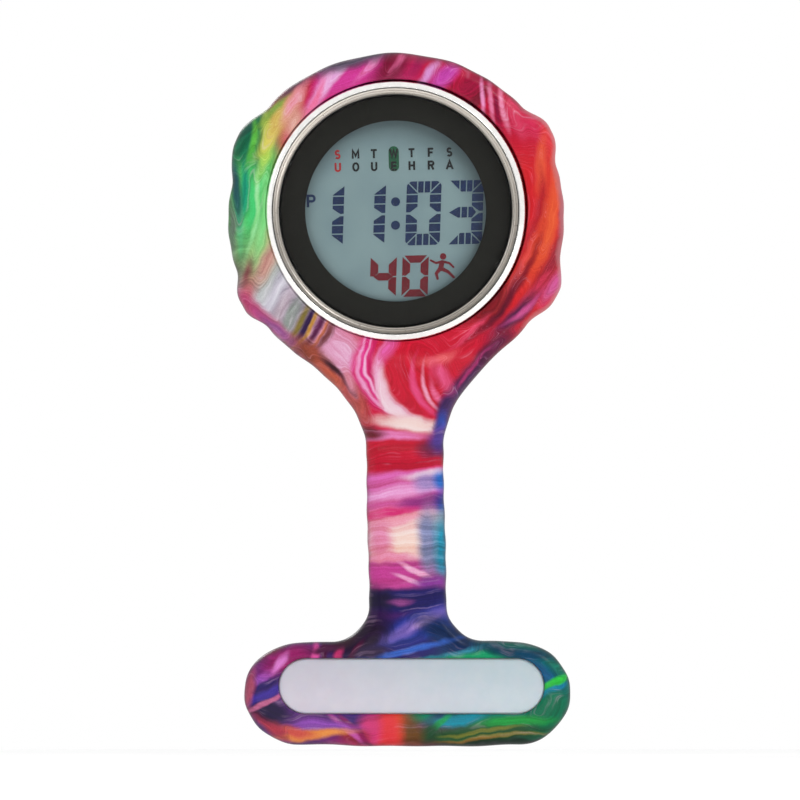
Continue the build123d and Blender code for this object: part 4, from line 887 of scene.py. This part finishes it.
RUNNER_LIMBS = [  # both ends' X and Z, and the radii there
    (5.6, -6.5, 5.4, -7.25, 0.3, 0.32), (5.55, -6.4, 4.85, -6.55, 0.16, 0.14),
    (4.85, -6.55, 4.2, -6.2, 0.14, 0.12), (5.75, -6.4, 6.5, -6.6, 0.16, 0.14),
    (6.5, -6.6, 7.0, -7.1, 0.14, 0.12), (5.35, -7.25, 4.85, -7.85, 0.26, 0.2),
    (4.85, -7.85, 5.0, -8.5, 0.19, 0.15), (5.5, -7.25, 6.3, -7.65, 0.26, 0.2),
    (6.3, -7.65, 7.0, -8.35, 0.19, 0.15),
]
runner = [disc(5.75, -5.75, 0.4)] + [capsule(*limb) for limb in RUNNER_LIMBS]


def ink_material(name, color):
    """A lit liquid-crystal segment: a little uneven, glossy under the film."""
    s = Shader(name)
    at = s.place()
    cloud = s.noise(at, 1.6, 3.0, 0.6)
    s.set(color=s.mix(s.ramp(cloud, 0.3, 0.7), tuple(c * 0.8 for c in color), tuple(c * 1.15 for c in color)),
          rough=s.ramp(s.noise(at, 6.0), 0.3, 0.7, 0.4, 0.55))
    s.bump(cloud, 0.05, 1e-5)
    return s.material


NAVY = ink_material("ink_navy", srgb(8, 36, 78))
RED = ink_material("ink_red", srgb(106, 0, 22))
DULL_RED = ink_material("ink_dull_red", srgb(166, 36, 40))
BLACK = ink_material("ink_black", srgb(14, 18, 20))
GREEN = ink_material("ink_green", srgb(16, 84, 54))


def ribbon(line, half):
    """Outline of a band of even width along a line."""
    line = np.array(line, float)
    step = np.diff(line, axis=0)
    step /= np.linalg.norm(step, axis=1, keepdims=True)
    before, after = np.vstack([step[:1], step]), np.vstack([step, step[-1:]])
    along = before + after
    along /= np.linalg.norm(along, axis=1, keepdims=True)
    across = np.stack([-along[:, 1], along[:, 0]], 1)
    across *= half / np.maximum(np.abs((along * after).sum(axis=1)), 0.4)[:, None]
    return [tuple(p) for p in np.vstack([line + across, (line - across)[::-1]])]


def bow(cx, cz, rx, rz, start, end, steps=10):
    """Points along an oval arc, angles in degrees."""
    turns = [math.radians(start + (end - start) * i / steps) for i in range(steps + 1)]
    return [(cx + rx * math.cos(t), cz + rz * math.sin(t)) for t in turns]


# each letter's lines, in a box about 0.7 wide and 1 high about its middle, for bands about 0.2 wide
LETTERS = {
    "S": [bow(0, 0.2, 0.2, 0.215, 30, 250) + bow(0, -0.2, 0.22, 0.215, 70, -150)],
    "U": [[(-0.25, 0.5), (-0.25, -0.16)] + bow(0, -0.16, 0.25, 0.255, 200, 340)
          + [(0.25, -0.16), (0.25, 0.5)]],
    "M": [[(-0.32, -0.5), (-0.32, 0.42), (0, -0.2), (0.32, 0.42), (0.32, -0.5)]],
    "O": [bow(0, 0, 0.29, 0.415, 90, 270, 14), bow(0, 0, 0.29, 0.415, -90, 90, 14)],
    "T": [[(-0.34, 0.415), (0.34, 0.415)], [(0, 0.33), (0, -0.5)]],
    "W": [[(-0.42, 0.5), (-0.2, -0.38), (0, 0.36), (0.2, -0.38), (0.42, 0.5)]],
    "E": [[(0.3, 0.415), (-0.22, 0.415), (-0.22, -0.415), (0.3, -0.415)], [(-0.13, 0.02), (0.25, 0.02)]],
    "H": [[(-0.26, 0.5), (-0.26, -0.5)], [(0.26, 0.5), (0.26, -0.5)], [(-0.17, 0.02), (0.17, 0.02)]],
    "F": [[(0.3, 0.415), (-0.22, 0.415), (-0.22, -0.5)], [(-0.13, 0), (0.22, 0)]],
    "R": [[(-0.25, -0.5), (-0.25, 0.415), (0.08, 0.415)] + bow(0.08, 0.21, 0.2, 0.205, 60, -60, 6)
          + [(0.08, 0.005), (-0.16, 0.005)], [(0.06, -0.07), (0.28, -0.5)]],
    "A": [[(-0.34, -0.5), (0, 0.42), (0.34, -0.5)], [(-0.16, -0.19), (0.16, -0.19)]],
    "P": [[(-0.25, -0.5), (-0.25, 0.415), (0.08, 0.415)] + bow(0.08, 0.19, 0.2, 0.225, 60, -60, 6)
          + [(0.08, -0.035), (-0.16, -0.035)]],
}


def letter(char, dx, dz, cap, half=0.115):
    """Outlines of one letter, its middle at (dx, dz) from the dial's centre."""
    bands = [ribbon(line, half) for line in LETTERS[char]]
    return [[(dx + x * cap, dz + z * cap) for x, z in band] for band in bands]


DAY_X = (-7.03, -4.8, -2.53, -0.07, 2.14, 4.51, 6.82)
DAYS = ("SU", "MO", "TU", "WE", "TH", "FR", "SA")
DAY_ROWS = (7.16, 5.58)
DAY_CAP = 1.1
letters = {day: sum((letter(char, dx, dz, DAY_CAP) for char, dz in zip(day, DAY_ROWS)), [])
           for day, dx in zip(DAYS, DAY_X)}
plain_days = sum((letters[day] for day in DAYS if day not in ("SU", "WE")), [])
afternoon = letter("P", -10.45, 1.5, 1.55, 0.1)
day_capsule = [capsule(-0.07, 7.4, -0.07, 5.56, 0.64, 0.64, 12)]
for name, shapes, ink, slot, step in (
        ("time_segments", time_shapes, NAVY, "lcd_ink_navy", 0),
        ("second_segments", second_shapes, RED, "lcd_ink_red", 0),
        ("runner_figure", runner, RED, "lcd_ink_red", RUNNER_OVERLAP),
        ("weekday_letters", plain_days, BLACK, "lcd_ink_black", OVERLAP),
        ("sunday_letters", letters["SU"], DULL_RED, "lcd_ink_red", OVERLAP),
        ("marked_day_letters", letters["WE"], BLACK, "lcd_ink_black", OVERLAP),
        ("afternoon_mark", afternoon, NAVY, "lcd_ink_navy", OVERLAP),
        ("day_mark", day_capsule, GREEN, "lcd_ink_green", 0)):
    place = (INK + INK_THICK, MARKED_THICK) if name == "marked_day_letters" else (INK, INK_THICK)
    dress(flat_piece(name, shapes, *place, step), ink)

# ---- finishes of the CAD pieces


def film_material():
    """The display's film: a pale grey-green with a soft cloud and a fine matt grain, darkened towards its
    rim, most at the upper right, by painted shade of the mask ring above it.
    """
    s = Shader("lcd_film")
    at = s.place()
    cloud = s.noise(at, 0.12, 2.0, 0.5)
    place = s.vector("SUBTRACT", at, (DIAL_X - 1.0, 0.0, DIAL_Z - 1.3))
    reach = s.vector("LENGTH", s.vector("MULTIPLY", place, (1.0, 0.0, 1.0)))
    tone = s.mix(s.ramp(cloud, 0.35, 0.65), srgb(120, 145, 150), srgb(130, 155, 158))
    # painted shade: darker towards the film's rim, most at the upper right, as the mask ring above would
    # shade it
    tone = s.mix(s.ramp(reach, 8.4, 13.0, 0.0, 0.8), tone, srgb(72, 90, 94))
    s.set(color=tone, rough=s.ramp(s.noise(at, 7.0, 2.0), 0.3, 0.7, 0.4, 0.5))
    s.bump(s.noise(at, 16.0, 2.0), 0.06, 1e-5)
    return s.material


def glass_material():
    s = Shader("crystal_glass")
    smear = s.noise(s.place(), 0.35, 4.0, 0.6)
    s.set(color=(0.03, 0.03, 0.03), rough=s.ramp(smear, 0.35, 0.7, 0.02, 0.06), alpha=0.06)
    return s.material


def plate_material():
    """Milky plastic: the tint of the silicone round it, carried by light that goes into it, is painted in a
    little, and painted shade darkens it towards the top.
    """
    s = Shader("milky_plastic")
    at = s.place()
    x, _, z = s.split(at)
    along = s.math("ADD", x, s.math("MULTIPLY", s.noise(at, 0.14, 2.0), 8.0))
    tint = s.mix(s.ramp(along, -12.0, 20.0), srgb(197, 190, 202), srgb(184, 198, 205))
    cloud = s.noise(at, 0.5, 4.0, 0.6)
    tint = s.mix(s.ramp(cloud, 0.3, 0.75, 0.0, 0.25), tint, srgb(212, 210, 216))
    # painted shade: the plate is made darker towards its top
    shaded_tint = s.mix(1.0, tint, (0.86, 0.9, 0.9), "MULTIPLY")
    tint = s.mix(s.ramp(z, -1.5, 4.0), tint, shaded_tint)
    s.set(color=tint, rough=s.ramp(s.noise(at, 2.4, 3.0), 0.3, 0.7, 0.36, 0.48), sss=0.25, sss_scale=0.0015,
          coat=0.1, coat_rough=0.2)
    s.bump(s.noise(at, 0.8, 3.0), 0.12, 1.5e-4)
    return s.material


SILVER = (0.5, 0.495, 0.48)
STEEL = (0.5, 0.5, 0.5)
FINISHES = {
    "milky_plastic": plate_material(),
    "brushed_steel": brushed("brushed_steel", SILVER, 0.3),
    "pin_steel": brushed("pin_steel", (0.52, 0.51, 0.49), 0.26, (1.0, 10.0, 10.0)),
    "polished_steel": polished_material("polished_steel_parts", (0.8, 0.79, 0.77), 0.14),
    "case_plastic": plain("case_plastic", srgb(60, 58, 56), 0.5),
    "crystal_glass": glass_material(),
    "seal_rubber": plain("seal_rubber", srgb(36, 34, 34), 0.7),
    "mask_black": plain("mask_black", srgb(26, 26, 21), 0.5, grain=0.12, bump=0.06, specular=0.2),
    "lcd_glass": plain("lcd_glass", srgb(170, 190, 190), 0.1, clear=0.6),
    "lcd_film": film_material(),
    "clear_acrylic": plain("clear_acrylic", srgb(225, 230, 230), 0.15, clear=0.7),
    "module_plastic": plain("module_plastic", srgb(205, 205, 200), 0.55),
    "board_green": plain("board_green", srgb(30, 92, 58), 0.35),
    "chip_epoxy": plain("chip_epoxy", srgb(24, 24, 26), 0.3),
    "led_white": plain("led_white", srgb(235, 225, 190), 0.35),
    "small_parts_metal": brushed("small_parts_metal", STEEL, 0.35),
    "capacitor_tan": plain("capacitor_tan", srgb(160, 125, 90), 0.5),
    "brass": brushed("brass", (0.75, 0.58, 0.28), 0.3),
    "pusher_steel": brushed("pusher_steel", STEEL, 0.3),
    "spring_steel": brushed("spring_steel", (0.5, 0.5, 0.52), 0.28),
}
BACK_STEEL = turned_material("turned_back", (0.46, 0.455, 0.44), 0.34, 5.0)
for name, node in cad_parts.items():
    slot = node.data.materials[0].name.split(".")[0]
    if name == "case_back":
        node.data.materials[0] = BACK_STEEL
    elif slot in FINISHES:
        node.data.materials.clear()
        node.data.materials.append(FINISHES[slot])

# ---- the springs under the buttons
for button in BUTTONS:
    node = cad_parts["pusher_spring_" + button]
    low, high = box_mm("pusher_spring_" + button)
    out = np.array([(low[0] + high[0]) / 2 - DIAL_X, 0.0, (low[2] + high[2]) / 2 - DIAL_Z])
    out /= np.linalg.norm(out)
    coil = link(bpy.data.objects.new("button_coil_" + button, node.data.copy()))
    coil.matrix_world = node.matrix_world
    dress(coil, FINISHES["spring_steel"])
    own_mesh(coil)
    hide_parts("pusher_spring_" + button)

# ---- floor, light and camera
FLOOR_HALF = 900
FLOOR_Z = -0.02
floor_corners = [(FLOOR_HALF * x, FLOOR_HALF * y, 0) for x, y in ((-1, -1), (1, -1), (1, 1), (-1, 1))]
floor = mesh_object("floor", floor_corners, [(0, 1, 2, 3)])
floor.location = (0, 0, FLOOR_Z)
floor_look = Shader("floor_paint")
floor_grain = floor_look.ramp(floor_look.noise(floor_look.place(), 0.02, 4.0, 0.6), 0.3, 0.7)
floor_look.set(color=floor_look.mix(floor_grain, (0.96, 0.96, 0.96), (0.99, 0.99, 0.988)), rough=0.8)
floor.data.materials.append(floor_look.material)

world = bpy.data.worlds.new("studio")
world.use_nodes = True
bpy.context.scene.world = world
# a white tent with a dim opening in front of the dial, so that dark colours stay dark
tent = world.node_tree
toward = tent.nodes.new("ShaderNodeVectorMath")
toward.operation = "DOT_PRODUCT"
toward.inputs[1].default_value = (0.0, -1.0, 0.0)
tent.links.new(tent.nodes.new("ShaderNodeTexCoord").outputs["Generated"], toward.inputs[0])
opening = tent.nodes.new("ShaderNodeMapRange")
opening.interpolation_type = "SMOOTHSTEP"
for socket, value in zip(("From Min", "From Max", "To Min", "To Max"), (0.62, 0.93, 1.0, 0.12)):
    opening.inputs[socket].default_value = value
tent.links.new(toward.outputs["Value"], opening.inputs["Value"])
tent.links.new(opening.outputs[0], tent.nodes["Background"].inputs["Color"])


def lamp(name, place, target, size, energy, size_y=None):
    data = bpy.data.lights.new(name, "AREA")
    data.size = size
    if size_y:
        data.shape, data.size_y = "RECTANGLE", size_y
    data.energy = energy
    obj = link(bpy.data.objects.new(name, data))
    obj.location = place
    obj.rotation_euler = (Vector(target) - Vector(place)).to_track_quat("-Z", "Y").to_euler()
    return obj


MIDDLE = (0, 0, 0.036)
lamp("key", (0.42, -0.5, 0.55), MIDDLE, 0.22, 1.7)
lamp("fill", (-0.6, -0.45, 0.2), MIDDLE, 0.5, 0.3)
lamp("low_strip", (0.1, -0.35, -0.018), (0, 0, 0), 0.5, 0.35, 0.03)
lamp("behind", (-0.3, 0.6, 0.4), MIDDLE, 0.2, 1.0)

camera_data = bpy.data.cameras.new("camera")
SENSOR = 36
CAMERA_FAR = 3.0  # from the middle of the holder's front
PICTURE_SIDE = 0.0991  # width of the picture there, in metres
PICTURE_Y = -0.0095
camera_data.sensor_width = SENSOR
camera_data.lens = SENSOR * CAMERA_FAR / PICTURE_SIDE
camera = link(bpy.data.objects.new("camera", camera_data))
camera.location = (-0.00087, PICTURE_Y - CAMERA_FAR, 0.0364)
camera.rotation_euler = (math.radians(90), 0, 0)
camera_data.clip_end = 20
bpy.context.scene.camera = camera
bpy.context.scene.view_settings.view_transform = "Standard"
